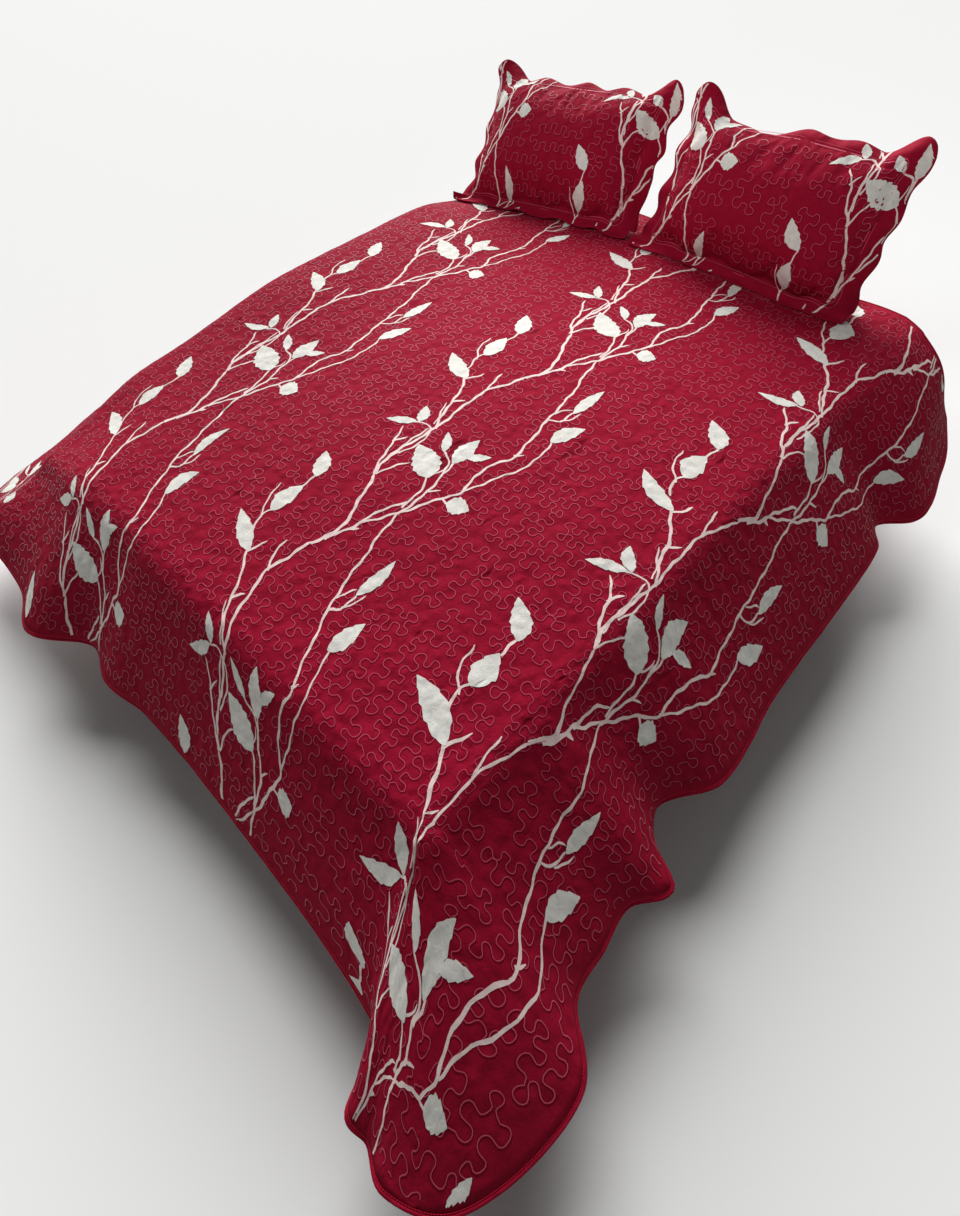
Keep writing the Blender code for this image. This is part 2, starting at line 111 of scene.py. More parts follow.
# Places on the hem, one row for each fold: the edge that the cloth hangs from, the place along it (Y on the
# sides, X at the foot, 0 to 1 round a corner) and the hem's x, y, z.
HEM = (
    ("head corner, right", "right", 1.150, 1.075, 1.105, 0.350),
    ("head corner, rounding", "right", 1.080, 1.135, 1.035, 0.295),
    ("ear, far side", "right", 0.980, 1.165, 0.945, 0.268),
    ("ear", "right", 0.860, 1.192, 0.835, 0.255),
    ("ear, near side", "right", 0.750, 1.182, 0.745, 0.250),
    ("valley behind the overlap", "right", 0.655, 1.108, 0.655, 0.250),
    ("overlapping ridge", "right", 0.560, 1.150, 0.565, 0.250),
    ("side, straight", "right", 0.300, 1.166, 0.300, 0.250),
    ("side, middle", "right", -0.060, 1.176, -0.060, 0.250),
    ("side, near", "right", -0.330, 1.203, -0.345, 0.250),
    ("behind the ridge", "right", -0.490, 1.125, -0.500, 0.262),
    ("ridge, far face", "right", -0.560, 1.165, -0.575, 0.255),
    ("ridge", "right", -0.620, 1.254, -0.628, 0.250),
    ("ridge, near face", "right", -0.720, 1.206, -0.722, 0.250),
    ("valley", "right", -0.830, 1.219, -0.830, 0.245),
    ("valley at the corner", "near corner", 0.000, 1.236, -0.937, 0.240),
    ("tongue, right lobe", "near corner", 0.160, 1.336, -1.035, 0.225),
    ("tongue, right edge", "near corner", 0.290, 1.340, -1.186, 0.215),
    ("tongue, tip", "near corner", 0.430, 1.286, -1.340, 0.210),
    ("tongue, left of tip", "near corner", 0.560, 1.178, -1.402, 0.212),
    ("tongue, hollow", "near corner", 0.680, 1.105, -1.378, 0.203),
    ("tongue, left lobe", "near corner", 0.800, 1.046, -1.374, 0.226),
    ("tongue, flank", "near corner", 0.910, 1.004, -1.292, 0.226),
    ("foot, near end", "near corner", 1.000, 0.966, -1.238, 0.240),
    ("foot, near", "foot", 0.500, 0.529, -1.205, 0.250),
    ("foot, middle", "foot", 0.050, 0.040, -1.202, 0.250),
    ("foot, small flute", "foot", -0.140, -0.148, -1.230, 0.245),
    ("foot, step", "foot", -0.260, -0.275, -1.197, 0.252),
    ("foot, fold", "foot", -0.450, -0.470, -1.306, 0.242),
    ("foot, behind the fold", "foot", -0.600, -0.625, -1.250, 0.250),
    ("foot, far end", "far corner", 0.000, -0.930, -1.250, 0.245),
    ("far tongue, foot side", "far corner", 0.250, -1.045, -1.310, 0.195),
    ("far tongue, tip", "far corner", 0.480, -1.130, -1.255, 0.165),
    ("far tongue, side", "far corner", 0.720, -1.165, -1.115, 0.190),
    ("left valley", "far corner", 1.000, -1.125, -0.935, 0.240),
    ("left flute 1", "left", -0.600, -1.215, -0.610, 0.248),
    ("left hollow 1", "left", -0.330, -1.130, -0.330, 0.255),
    ("left flute 2", "left", -0.040, -1.195, -0.040, 0.250),
    ("left hollow 2", "left", 0.260, -1.135, 0.260, 0.256),
    ("left flute 3", "left", 0.560, -1.190, 0.565, 0.250),
    ("left hollow 3", "left", 0.810, -1.140, 0.815, 0.258),
    ("left flute 4", "left", 0.990, -1.175, 0.960, 0.268),
    ("head corner, left rounding", "left", 1.080, -1.140, 1.040, 0.295),
    ("head corner, left", "left", 1.150, -1.080, 1.110, 0.350),
)

# Creases in the flat cloth: their turn, how much they stretch, how many to a metre, and where a ridge starts
# and is full
# These creases are bumps, and the quilted cotton's colour also darkens along them as painted shade
CREASE_TURN = math.radians(38.0)
CREASE_STRETCH = 0.42
CREASE_SCALE = 20.0
CREASE_FROM = 0.34
CREASE_TO = 0.66

# The hanging folds are softened below the shoulder
SOFTEN_FROM = 0.34
SOFTEN_OVER = 0.20
SOFTEN_PASSES = 36

# Loose lifts of the top. The rows of CRINKLES, which the quilting draws up, are height, stretch across, size, seed.
LIFT_HEIGHT = 0.007
LIFT_SIZE = 0.30
LIFT_MARGIN = 0.20
LIFTS_END_Y = 0.85
CRINKLES = ((0.0011, 1.00, 0.085, 7.7), (0.0009, 1.00, 0.042, 1.3), (0.0009, 0.35, 0.060, 5.2))
CLOTH_LIFT = 0.0022
UNDER_SHAM_Y = 0.80
UNDER_SHAM_OVER = 0.08
UNDER_SHAM_LOSS = 0.80

# The line of quilting stitches
STITCH_STEP = 0.0052
LOBE_STEP = 0.0020
LOBE_LENGTH = 0.0200
LOBE_LENGTHS = (0.72, 1.38)
LOBE_DEPTH = 0.0152
LOBE_DEPTHS = (0.60, 1.15)
LOBE_BULGE = 0.0052
LINE_DRIFT = 0.20
LINE_DRIFT_SIZE = 0.08
BRANCHING_SHARE = 0.90
TURNING_SHARE = 0.93
# How far the ribbon of painted shade lies to one side of the thread
GROOVE_SHADE_ASIDE = 0.0010

# How far the print and the stitches lie over the cloth, and how near they come to its edge
STEM_LIFT = 0.0008
LEAF_LIFT = 0.0011
# The ribbon of painted shade beside the stitches lies lowest
GROOVE_SHADE_LIFT = 0.0003
STITCH_LIFT = 0.0006
SEAM_LIFT = 0.0007
PRINT_MARGIN = 0.006
STITCH_MARGIN = 0.016
SHAM_PRINT_MARGIN = 0.004

# The short stitches along the hem
EDGE_STITCH_EVERY = 0.0060
EDGE_STITCH_LENGTH = 0.0046
EDGE_STITCH_WIDTH = 0.0016
EDGE_STITCH_LIFT = 0.0008
EDGE_STITCH_INSIDE = 0.0025
EDGE_STITCH_BASE = 0.0026
ROLL_SIDES = 10
ROLL_HALF_HEIGHT = 0.0042

# Steps of the quilt's fine mesh
TOP_COLUMNS = 130
TOP_ROWS = 164
DROP_STEPS = 36

# The mattress and its corded tapes
MATTRESS_UNDER = 0.0062
MATTRESS_CUTS = 35
TAPE_RADIUS = 0.0042
TAPE_STEP = 0.022
TAPE_SIDES = 8
TAPE_CORNER_STEPS = 9
TAPE_HEIGHTS = (("lower", 0.09), ("upper", 0.84))

SHAM_WIDTH = 0.735
SHAM_HEIGHT = 0.500
SHAM_HALF_FILL = 0.082
SHAM_COLUMNS = 118
SHAM_ROWS = 86
SEAM_ACROSS = 0.845
SEAM_UP = 0.800
SEAM_POINTS = 420
SEAM_SQUARENESS = 0.16
SEAM_APART = 0.008
EAR_RADIUS = 0.048
EDGE_PULL = 0.014
TOP_PULL = 0.021
EDGE_WAVE = 0.0060
SIDE_WAVE_LENGTH = 0.125
TOP_WAVE_LENGTH = 0.165
DIP_PLACE = -0.400
DIP_WIDTH = 0.330
FILL_SQUARE_ACROSS = 3.6
FILL_SQUARE_UP = 2.8
FILL_ROUNDING = 0.52
FILL_SAG = 0.10
FLANGE_HALF = 0.0026
FLANGE_BACK = 0.042
FLANGE_FORWARD = 0.034
FLANGE_RUFFLE = 0.009
SEAT_HEIGHT = 0.004
SEAT_BELOW_SEAM = 0.014
SEAT_CLEAR = 0.0045
INFLATE_FRAMES = 20
INFLATE_CAP = 0.022
INFLATE = {"quality": 4, "mass": 0.25, "tension_stiffness": 25.0, "compression_stiffness": 25.0,
           "shear_stiffness": 8.0, "bending_stiffness": 0.4, "shrink_min": -0.035, "use_pressure": True,
           "uniform_pressure_force": 4.0}
# Columns: name, foot x, foot y, turn and lean in degrees, dip of the top, dip beside the left ear, and how far
# the lower left ear spreads
SHAMS = (
    ("sham_left", -0.468, 0.922, 9.5, 54.0, 0.020, 0.000, 0.030),
    ("sham_right", 0.328, 0.990, 3.5, 68.0, 0.022, 0.048, 0.050),
)


def clean_selection():
    bpy.ops.object.select_all(action="DESELECT")


def mesh_object(name, points, faces, material, uvs=None):
    """A piece from its points and faces; uvs has one place for each point, in metres of flat cloth."""
    mesh = bpy.data.meshes.new(name)
    mesh.from_pydata(np.asarray(points).tolist(), [], np.asarray(faces).tolist())
    if uvs is not None:
        layer = mesh.uv_layers.new(name="flat_cloth")
        index = np.empty(len(mesh.loops), dtype=np.int32)
        mesh.loops.foreach_get("vertex_index", index)
        layer.data.foreach_set("uv", np.asarray(uvs, dtype=np.float32)[index].ravel())
    mesh.materials.append(material)
    mesh.shade_smooth()
    obj = bpy.data.objects.new(name, mesh)
    bpy.context.scene.collection.objects.link(obj)
    return obj


# Materials

def linear(text):
    """Linear colour from an sRGB hex value."""
    parts = [int(text[i:i + 2], 16) / 255.0 for i in (1, 3, 5)]
    return tuple(p / 12.92 if p <= 0.04045 else ((p + 0.055) / 1.055) ** 2.4 for p in parts) + (1.0,)


def add_node(tree, kind, inputs=None, **settings):
    """Adds a node; inputs maps a socket's name or number to a value or to another node's output."""
    node = tree.nodes.new(kind)
    for name, value in settings.items():
        setattr(node, name, value)
    for key, value in (inputs or {}).items():
        if isinstance(value, bpy.types.NodeSocket):
            tree.links.new(value, node.inputs[key])
        else:
            node.inputs[key].default_value = value
    return node


def new_material(name, roughness, sheen=0.0, colour=None):
    material = bpy.data.materials.new(name)
    material.use_nodes = True
    tree = material.node_tree
    shader = tree.nodes["Principled BSDF"]
    shader.inputs["Roughness"].default_value = roughness
    shader.inputs["Sheen Weight"].default_value = sheen
    shader.inputs["Sheen Roughness"].default_value = 0.45
    shader.inputs["Specular IOR Level"].default_value = 0.06
    if colour:
        shader.inputs["Base Color"].default_value = linear(colour)
    return material, tree, shader


def cloud(tree, vector, scale, detail, more=None, **settings):
    """The value of a noise texture."""
    inputs = {"Vector": vector, "Scale": scale, "Detail": detail, **(more or {})}
    return add_node(tree, "ShaderNodeTexNoise", inputs, **settings).outputs["Fac"]


def remap(tree, value, low, high, new_low, new_high, **settings):
    inputs = {"Value": value, "From Min": low, "From Max": high, "To Min": new_low, "To Max": new_high}
    return add_node(tree, "ShaderNodeMapRange", inputs, **settings).outputs["Result"]


def bump(tree, height, distance_mm, strength=1.0, under=None, **settings):
    """The normal of a bump, on the normal that is under it."""
    inputs = {"Strength": strength, "Distance": distance_mm * MM, "Height": height}
    if under is not None:
        inputs["Normal"] = under
    return add_node(tree, "ShaderNodeBump", inputs, **settings).outputs["Normal"]


def tinted(tree, shader, factor, dark, light):
    """Base colour between two sRGB colours."""
    mix = add_node(tree, "ShaderNodeMix", {"Factor": factor, "A": linear(dark), "B": linear(light)},
                   data_type="RGBA")
    tree.links.new(mix.outputs[2], shader.inputs["Base Color"])


def flat_cloth(tree):
    return add_node(tree, "ShaderNodeUVMap", uv_map="flat_cloth").outputs["UV"]


def object_place(tree):
    return add_node(tree, "ShaderNodeTexCoord").outputs["Object"]


def cloth_relief(tree, shader, puff_mm, crinkle_mm):
    """Puffs between the lines of stitching, crinkles, slanting creases and the weave, all in the flat cloth."""
    flat = flat_cloth(tree)
    drift = add_node(tree, "ShaderNodeTexNoise", {"Vector": flat, "Scale": 9.0, "Detail": 2.0})
    vector = add_node(tree, "ShaderNodeMix", {"Factor": 0.035, "A": flat, "B": drift.outputs["Color"]},
                      data_type="VECTOR").outputs[1]
    puffs = add_node(tree, "ShaderNodeTexVoronoi", {"Vector": vector, "Scale": 34.0, "Smoothness": 0.7},
                     feature="SMOOTH_F1").outputs["Distance"]
    crinkles = cloud(tree, flat, 75.0, 4.0, {"Roughness": 0.6, "Distortion": 0.8})
    slanted = add_node(tree, "ShaderNodeMapping", {"Vector": vector, "Rotation": (0.0, 0.0, CREASE_TURN),
                                                   "Scale": (1.0, CREASE_STRETCH, 1.0)}).outputs["Vector"]
    ridges = cloud(tree, slanted, CREASE_SCALE, 3.0, {"Distortion": 0.6}, noise_type="RIDGED_MULTIFRACTAL",
                   normalize=True)
    creases = remap(tree, ridges, CREASE_FROM, CREASE_TO, 1.0, 0.0, interpolation_type="SMOOTHSTEP")
    normal = bump(tree, puffs, puff_mm, invert=True)
    normal = bump(tree, crinkles, crinkle_mm, under=normal)
    normal = bump(tree, creases, 2.0 * crinkle_mm, under=normal)
    normal = bump(tree, cloud(tree, flat, 900.0, 1.0), 0.15, 0.5, normal)
    tree.links.new(normal, shader.inputs["Normal"])
    # The creases and crinkles also set the painted shade in the cotton's colour
    return creases, crinkles


def quilted_cotton(name, settings):
    """Brushed cotton dyed crimson, stitched over wadding: matt, with painted shade that darkens its crinkles and
    creases.
    """
    material, tree, shader = new_material(name, 0.85)
    creases, crinkles = cloth_relief(tree, shader, 5.0, 1.5)
    # Painted shade: the colour goes to the darker crimson in the low places of the crinkles and along the slanting
    # creases, where shade falls
    shade = remap(tree, crinkles, 0.3, 0.7, 0.60, 1.0)
    both = add_node(tree, "ShaderNodeMath", {0: shade, 1: creases}, operation="MULTIPLY")
    tinted(tree, shader, both.outputs["Value"], settings.deep, settings.cloth)
    return material


def groove_cotton(name, colour):
    """Painted shade where the stitches draw the cloth down: the same cotton in a darker crimson, without the puffs.
    """
    material, tree, shader = new_material(name, 0.9, 0.0, colour)
    tree.links.new(bump(tree, cloud(tree, flat_cloth(tree), 140.0, 3.0), 1.0), shader.inputs["Normal"])
    return material


def print_cotton(name, colour, shadow):
    """Off-white pigment print in the same cotton, with painted shade greying it in its crinkles."""
    material, tree, shader = new_material(name, 0.85)
    _, crinkles = cloth_relief(tree, shader, 3.0, 1.0)
    # Painted shade: greyer where the crinkles lie low
    tinted(tree, shader, remap(tree, crinkles, 0.32, 0.6, 0.62, 1.0), shadow, colour)
    return material


def thread_material(name, colour):
    """Polyester sewing thread: slightly glossy, its twist a fine slanting line."""
    material, tree, shader = new_material(name, 0.5, 0.3, colour)
    twist = add_node(tree, "ShaderNodeTexWave", {"Vector": object_place(tree), "Scale": 260.0, "Distortion": 1.0},
                     bands_direction="DIAGONAL").outputs["Fac"]
    tree.links.new(bump(tree, twist, 0.2, 0.4), shader.inputs["Normal"])
    return material


def woven_material(name, colour, deep, threads_mm):
    """Plain woven cloth with its threads across each other, for the mattress, its tapes and the base."""
    material, tree, shader = new_material(name, 0.85, 0.15)
    where = object_place(tree)
    scale = 1.0 / (threads_mm * MM) / 6.28
    total = None
    for axis in ("X", "Y", "Z"):
        band = add_node(tree, "ShaderNodeTexWave", {"Vector": where, "Scale": scale, "Distortion": 0.6},
                        bands_direction=axis).outputs["Fac"]
        total = band if total is None else add_node(tree, "ShaderNodeMath", {0: total, 1: band}).outputs[0]
    tinted(tree, shader, cloud(tree, where, 6.0, 3.0), deep, colour)
    tree.links.new(bump(tree, total, 0.3, 0.5), shader.inputs["Normal"])
    return material


def painted_wood(name, colour, deep):
    """Sawn beech under satin paint: the grain shows faintly along the length."""
    material, tree, shader = new_material(name, 0.45)
    stretch = add_node(tree, "ShaderNodeMapping", {"Vector": object_place(tree), "Scale": (40.0, 3.0, 60.0)})
    grain = cloud(tree, stretch.outputs[0], 1.0, 5.0)
    tinted(tree, shader, grain, deep, colour)
    tree.links.new(bump(tree, grain, 0.4, 0.3), shader.inputs["Normal"])
    return material


# Shape of the hanging cloth

def ease(value):
    value = np.clip(value, 0.0, 1.0)
    return value * value * (3.0 - 2.0 * value)


def between(value, start, full):
    """0 at the start and 1 where it is full, eased."""
    return ease((value - start) / (full - start))


def edge_distance(edge, along):
    """Distance round the bed's edge from the head on the right, with each corner counted as CORNER_SPAN."""
    start = {"right": 0.0, "near corner": SIDE_LENGTH, "foot": SIDE_LENGTH + CORNER_SPAN,
             "far corner": SIDE_LENGTH + CORNER_SPAN + FOOT_LENGTH,
             "left": SIDE_LENGTH + 2.0 * CORNER_SPAN + FOOT_LENGTH}[edge]
    run = {"right": QUILT_HEAD_Y - along, "near corner": CORNER_SPAN * along, "foot": EDGE_X - along,
           "far corner": CORNER_SPAN * along, "left": along - EDGE_Y}[edge]
    return start + run


HEM_AT = np.array([edge_distance(row[1], row[2]) for row in HEM])
HEM_XYZ = np.array([row[3:] for row in HEM])


def hem_point(distance):
    """Smooth curve through the hem's places, for an array of distances."""
    last = len(HEM_AT) - 1
    distance = np.clip(distance, HEM_AT[0], HEM_AT[-1])
    k = np.clip(np.searchsorted(HEM_AT, distance, side="right") - 1, 0, last - 1)
    before, beyond = np.maximum(k - 1, 0), np.minimum(k + 2, last)
    span = (HEM_AT[k + 1] - HEM_AT[k])[:, None]
    slope_here = (HEM_XYZ[k + 1] - HEM_XYZ[before]) * (span / (HEM_AT[k + 1] - HEM_AT[before])[:, None])
    slope_after = (HEM_XYZ[beyond] - HEM_XYZ[k]) * (span / (HEM_AT[beyond] - HEM_AT[k])[:, None])
    t = ((distance - HEM_AT[k]) / span[:, 0])[:, None]
    t2, t3 = t * t, t * t * t
    return (HEM_XYZ[k] * (2 * t3 - 3 * t2 + 1) + slope_here * (t3 - 2 * t2 + t)
            + HEM_XYZ[k + 1] * (3 * t2 - 2 * t3) + slope_after * (t3 - t2))


def smooth_hem_point(distance):
    steps = 2
    total = sum(hem_point(distance + FOLD_SPREAD * k / steps) for k in range(-steps, steps + 1))
    return total / (2 * steps + 1)


def crown(x, y):
    across = np.minimum(np.abs(x) / BED_HALF_WIDTH, 1.0)
    foot = np.clip((CROWN_CENTRE_Y - y) / (CROWN_CENTRE_Y - BED_FOOT_Y), 0.0, 1.0)
    head = np.maximum((y - CROWN_CENTRE_Y) / (BED_HEAD_Y - CROWN_CENTRE_Y), 0.0)
    return CROWN_SIDE_DROP * across ** 2 + CROWN_FOOT_DROP * foot ** 2 + CROWN_HEAD_DROP * head ** 2


def swell(x, y):
    """How much higher the cloth lies than on an even crown."""
    total = 0.0
    for _, height, x_start, x_full, y_start, y_full, y_last, y_gone in SWELLS:
        total = total + (height * between(x, x_start, x_full) * between(y, y_start, y_full)
                         * between(y, y_gone, y_last))
    return total


def top_height(x, y):
    return TOP_Z - crown(x, y) + swell(x, y)


def fall_points(base_x, base_y, place, share):
    """Points on the fall lines: over the shoulder, then straight to the evened hem, with the folds added."""
    hem = smooth_hem_point(place)
    fold = (hem_point(place) - hem) * (share ** FOLD_DEEPENING)[:, None]
    out_x, out_y = hem[:, 0] - base_x, hem[:, 1] - base_y
    reach = np.hypot(out_x, out_y)
    out_x, out_y = out_x / reach, out_y / reach
    depth = TOP_Z - hem[:, 2]
    bend = (np.arcsin(SHOULDER_RADIUS / np.hypot(reach, depth - SHOULDER_RADIUS))
            + np.arctan2(depth - SHOULDER_RADIUS, reach))
    angle = bend * np.minimum(share / SHOULDER_SHARE, 1.0)
    down = np.maximum((share - SHOULDER_SHARE) / (1.0 - SHOULDER_SHARE), 0.0)
    run = SHOULDER_RADIUS * np.sin(angle)
    fall = SHOULDER_RADIUS * (1.0 - np.cos(angle))
    run = run + (reach - run) * down
    fall = fall + (depth - fall) * down
    belly = HEAD_BELLY * between(place, HEAD_BELLY_END, HEAD_BELLY_FULL) * np.sin(np.pi * share) ** 2
    run = run + belly
    x, y = base_x + out_x * run, base_y + out_y * run
    z = TOP_Z - fall - crown(x, y) * between(share, 1.0, 0.0) + swell(x, y) * between(share, 1.0, SHOULDER_SHARE)
    return np.stack([x, y, z + HEAD_BELLY_LIFT * belly], axis=1) + fold


def spread_noise(u, v, size, seed):
    """Smooth noise from -1 to 1 over the flat cloth, its lumps about size metres across."""
    flat = zip(np.asarray(u).ravel() / size, np.asarray(v).ravel() / size)
    values = [noise.noise(Vector((a, b, seed))) for a, b in flat]
    return np.array(values).reshape(np.asarray(u).shape)


def normals_of(grid):
    """Normals at the grid's points, from the faces round each."""
    face = np.cross(grid[1:, 1:] - grid[:-1, :-1], grid[1:, :-1] - grid[:-1, 1:])
    normal = np.zeros_like(grid)
    for rows in (slice(0, -1), slice(1, None)):
        for columns in (slice(0, -1), slice(1, None)):
            normal[rows, columns] += face
    return normal / np.linalg.norm(normal, axis=2, keepdims=True)


class Surface:
    """A grid of points over flat cloth, which pieces are laid on by their place in the flat cloth."""

    def __init__(self, grid, us, vs, lift, unroll=None):
        self.grid, self.us, self.vs, self.lift, self.unroll = grid, us, vs, lift, unroll
        self.normals = normals_of(grid)

    def steps(self, flat):
        """Places on the grid's own steps for places in the flat cloth."""
        return self.unroll(flat) if self.unroll else flat

    def inside(self, flat, margin):
        """Whether each place in the flat cloth is on the cloth, at least margin from its edge."""
        step = self.steps(flat)
        return ((step[:, 0] > self.us[0] + margin) & (step[:, 0] < self.us[-1] - margin)
                & (step[:, 1] > self.vs[0] + margin) & (step[:, 1] < self.vs[-1] - margin))

    def place(self, flat, above):
        """Points over the cloth at places in the flat cloth."""
        step = self.steps(flat)
        rows, columns = self.grid.shape[:2]
        i = np.interp(step[:, 0], self.us, np.arange(columns))
        j = np.interp(step[:, 1], self.vs, np.arange(rows))
        i0 = np.minimum(i.astype(int), columns - 2)
        j0 = np.minimum(j.astype(int), rows - 2)
        s, t = (i - i0)[:, None], (j - j0)[:, None]

        def blend(field):
            return ((field[j0, i0] * (1 - s) + field[j0, i0 + 1] * s) * (1 - t)
                    + (field[j0 + 1, i0] * (1 - s) + field[j0 + 1, i0 + 1] * s) * t)

        normal = blend(self.normals)
        normal /= np.linalg.norm(normal, axis=1, keepdims=True)
        return blend(self.grid) + normal * (self.lift + above)


def corner_length(turn):
    """Length of the flat cloth from the bed's corner to the round corner of the hem."""
    return DROP_LENGTH + (CORNER_LENGTH - DROP_LENGTH) * np.sin(np.pi * turn) ** 2


def corner_steps(flat):
    """The grid's steps for places in the flat cloth: the same, but for the quilt's round corners."""
    u, v = flat[:, 0], flat[:, 1]
    side, foot = np.maximum(np.abs(u) - EDGE_X, 0.0), np.maximum(EDGE_Y - v, 0.0)
    both = (side > 0.0) & (foot > 0.0)
    turn = np.arctan2(foot, np.maximum(side, 1e-9)) / (np.pi / 2.0)
    share = np.hypot(side, foot) / corner_length(turn) * DROP_LENGTH
    new_side = np.where(turn <= 0.5, share, share * 2.0 * (1.0 - turn))
    new_foot = np.where(turn <= 0.5, share * 2.0 * turn, share)
    u = np.where(both, np.copysign(EDGE_X + new_side, u), u)
    v = np.where(both, EDGE_Y - new_foot, v)
    return np.stack([u, v], axis=1)


def corner_flat(u, v):
    """The places in the flat cloth of the grid's steps."""
    side, foot = np.maximum(np.abs(u) - EDGE_X, 0.0), np.maximum(EDGE_Y - v, 0.0)
    both = (side > 0.0) & (foot > 0.0)
    share = np.maximum(side, foot)
    turn = np.where(side >= foot, foot / np.maximum(2.0 * side, 1e-9), 1.0 - side / np.maximum(2.0 * foot, 1e-9))
    long = share / DROP_LENGTH * corner_length(turn)
    u = np.where(both, np.copysign(EDGE_X + long * np.cos(turn * np.pi / 2.0), u), u)
    v = np.where(both, EDGE_Y - long * np.sin(turn * np.pi / 2.0), v)
    return np.stack([u, v], axis=-1)


def flat_places():
    """Flat place of each column and row of the quilt's mesh."""
    drop = DROP_LENGTH * np.arange(1, DROP_STEPS + 1) / DROP_STEPS
    across = np.linspace(-EDGE_X, EDGE_X, TOP_COLUMNS + 1)
    along = np.linspace(EDGE_Y, QUILT_HEAD_Y, TOP_ROWS + 1)
    us = np.concatenate([-EDGE_X - drop[::-1], across, EDGE_X + drop])
    vs = np.concatenate([EDGE_Y - drop[::-1], along])
    return us, vs


def quilt_surface():
    us, vs = flat_places()
    u, v = np.meshgrid(us, vs)
    side = np.maximum(np.abs(u) - EDGE_X, 0.0) / DROP_LENGTH
    foot = np.maximum(EDGE_Y - v, 0.0) / DROP_LENGTH
    base_x, base_y = np.clip(u, -EDGE_X, EDGE_X), np.maximum(v, EDGE_Y)
    grid = np.stack([u, v, top_height(u, v)], axis=2)
    right = u > 0.0
    safe_side, safe_foot = np.maximum(side, 1e-9), np.maximum(foot, 1e-9)
    turn = np.where(side >= foot, foot / (2.0 * safe_side), 1.0 - side / (2.0 * safe_foot))
    corner_right = edge_distance("near corner", 0.0) + CORNER_SPAN * turn
    corner_left = edge_distance("far corner", 0.0) + CORNER_SPAN * (1.0 - turn)
    place = np.where(right, QUILT_HEAD_Y - base_y, edge_distance("left", EDGE_Y) + base_y - EDGE_Y)
    place = np.where((side == 0.0) & (foot > 0.0), edge_distance("foot", 0.0) - base_x, place)
    both = (side > 0.0) & (foot > 0.0)
    place = np.where(both, np.where(right, corner_right, corner_left), place)
    hangs = (side > 0.0) | (foot > 0.0)
    share = np.maximum(side, foot)
    grid[hangs] = fall_points(base_x[hangs], base_y[hangs], place[hangs], share[hangs])

    # The folds are softened where the cloth hangs free, between the shoulder and the hem
    weight = (0.5 * ease((share - SOFTEN_FROM) / SOFTEN_OVER) * hangs)[1:-1, 1:-1, None]
    for _ in range(SOFTEN_PASSES):
        around = 0.25 * (grid[:-2, 1:-1] + grid[2:, 1:-1] + grid[1:-1, :-2] + grid[1:-1, 2:])
        grid[1:-1, 1:-1] += (around - grid[1:-1, 1:-1]) * weight

    # Loose lifts of the top, and the drawn-up crinkles of the quilting
    edges = ease((EDGE_X - np.abs(u)) / LIFT_MARGIN) * ease((v - EDGE_Y) / LIFT_MARGIN)
    edges = edges * ease((LIFTS_END_Y - v) / LIFT_MARGIN)
    lumps = 0.5 + 0.5 * spread_noise(u, v, LIFT_SIZE, 3.1)
    crinkle = sum(height * spread_noise(u * stretch, v, size, seed) for height, stretch, size, seed in CRINKLES)
    under_sham = 1.0 - UNDER_SHAM_LOSS * ease((v - UNDER_SHAM_Y) / UNDER_SHAM_OVER)
    lift = LIFT_HEIGHT * lumps ** 2 * edges + (crinkle + CLOTH_LIFT) * under_sham
    grid += normals_of(grid) * lift[..., None]
    return Surface(grid, us, vs, 0.0, corner_steps)


def rim_of(rows, columns):
    """Places round a grid's edge, in order, as row and column."""
    rim = [(0, i) for i in range(columns)]
    rim += [(j, columns - 1) for j in range(1, rows)]
    rim += [(rows - 1, i) for i in range(columns - 2, -1, -1)]
    rim += [(j, 0) for j in range(rows - 2, 0, -1)]
    return np.array(rim)


def quads_of(rows, columns):
    """Faces between the points of a grid."""
    a = (np.arange(rows - 1)[:, None] * columns + np.arange(columns - 1)).ravel()
    return np.stack([a, a + 1, a + columns + 1, a + columns], axis=1)


def closed_faces(rows, columns):
    """Faces of a closed sheet: a grid of points, the same grid again for its back, and the sides between them."""
    count, top = rows * columns, quads_of(rows, columns)
    rim = rim_of(rows, columns)
    edge = rim[:, 0] * columns + rim[:, 1]
    after = np.roll(edge, -1)
    return np.concatenate([top, top[:, ::-1] + count, np.stack([edge, edge + count, after + count, after], axis=1)])


def thick_sheet(name, surface, thickness, material):
    """One closed sheet, half its thickness to each side of the surface."""
    half = surface.normals * thickness / 2.0
    points = np.concatenate([(surface.grid + half).reshape(-1, 3), (surface.grid - half).reshape(-1, 3)])
    flat = corner_flat(*np.meshgrid(surface.us, surface.vs)).reshape(-1, 2)
    faces = closed_faces(*surface.grid.shape[:2])
    return mesh_object(name, points, faces, material, np.concatenate([flat, flat]))


# The print: a leafy branch that repeats across and along the cloth

REPEAT_ACROSS = 0.690
REPEAT_ALONG = 0.787
PRINT_COLUMNS = range(-3, 3)
PRINT_ROWS = range(-2, 3)
PRINT_SEED = 11
SHAM_PRINT_SEED = 31
STITCH_SEED = 5
SHAM_STITCH_SEED = 40
# The cloth lies a little askew, so the print moves where it goes down. The columns are name, how far it moves
# across and down, and the stretches of the cloth's width and length over which the move comes.
ALL_OVER = (-9.0, -8.0)
PRINT_MOVES = (
    ("the foot leans", 0.200, 0.000, *ALL_OVER, -0.62, -1.30),
    ("but less on the right", -0.130, 0.000, 0.30, 0.70, -0.62, -1.30),
    ("the side goes out", 0.050, 0.000, 0.60, 0.88, *ALL_OVER),
    ("the foot slips", 0.000, 0.030, *ALL_OVER, -0.70, -1.20),
    ("the tongue slips", 0.000, 0.060, 0.20, 0.75, -0.65, -1.05),
    ("and comes back", 0.000, -0.130, 0.20, 0.75, -1.05, -1.40),
    ("the side slips", 0.000, 0.085, 0.80, 1.10, -0.95, -0.60),
)
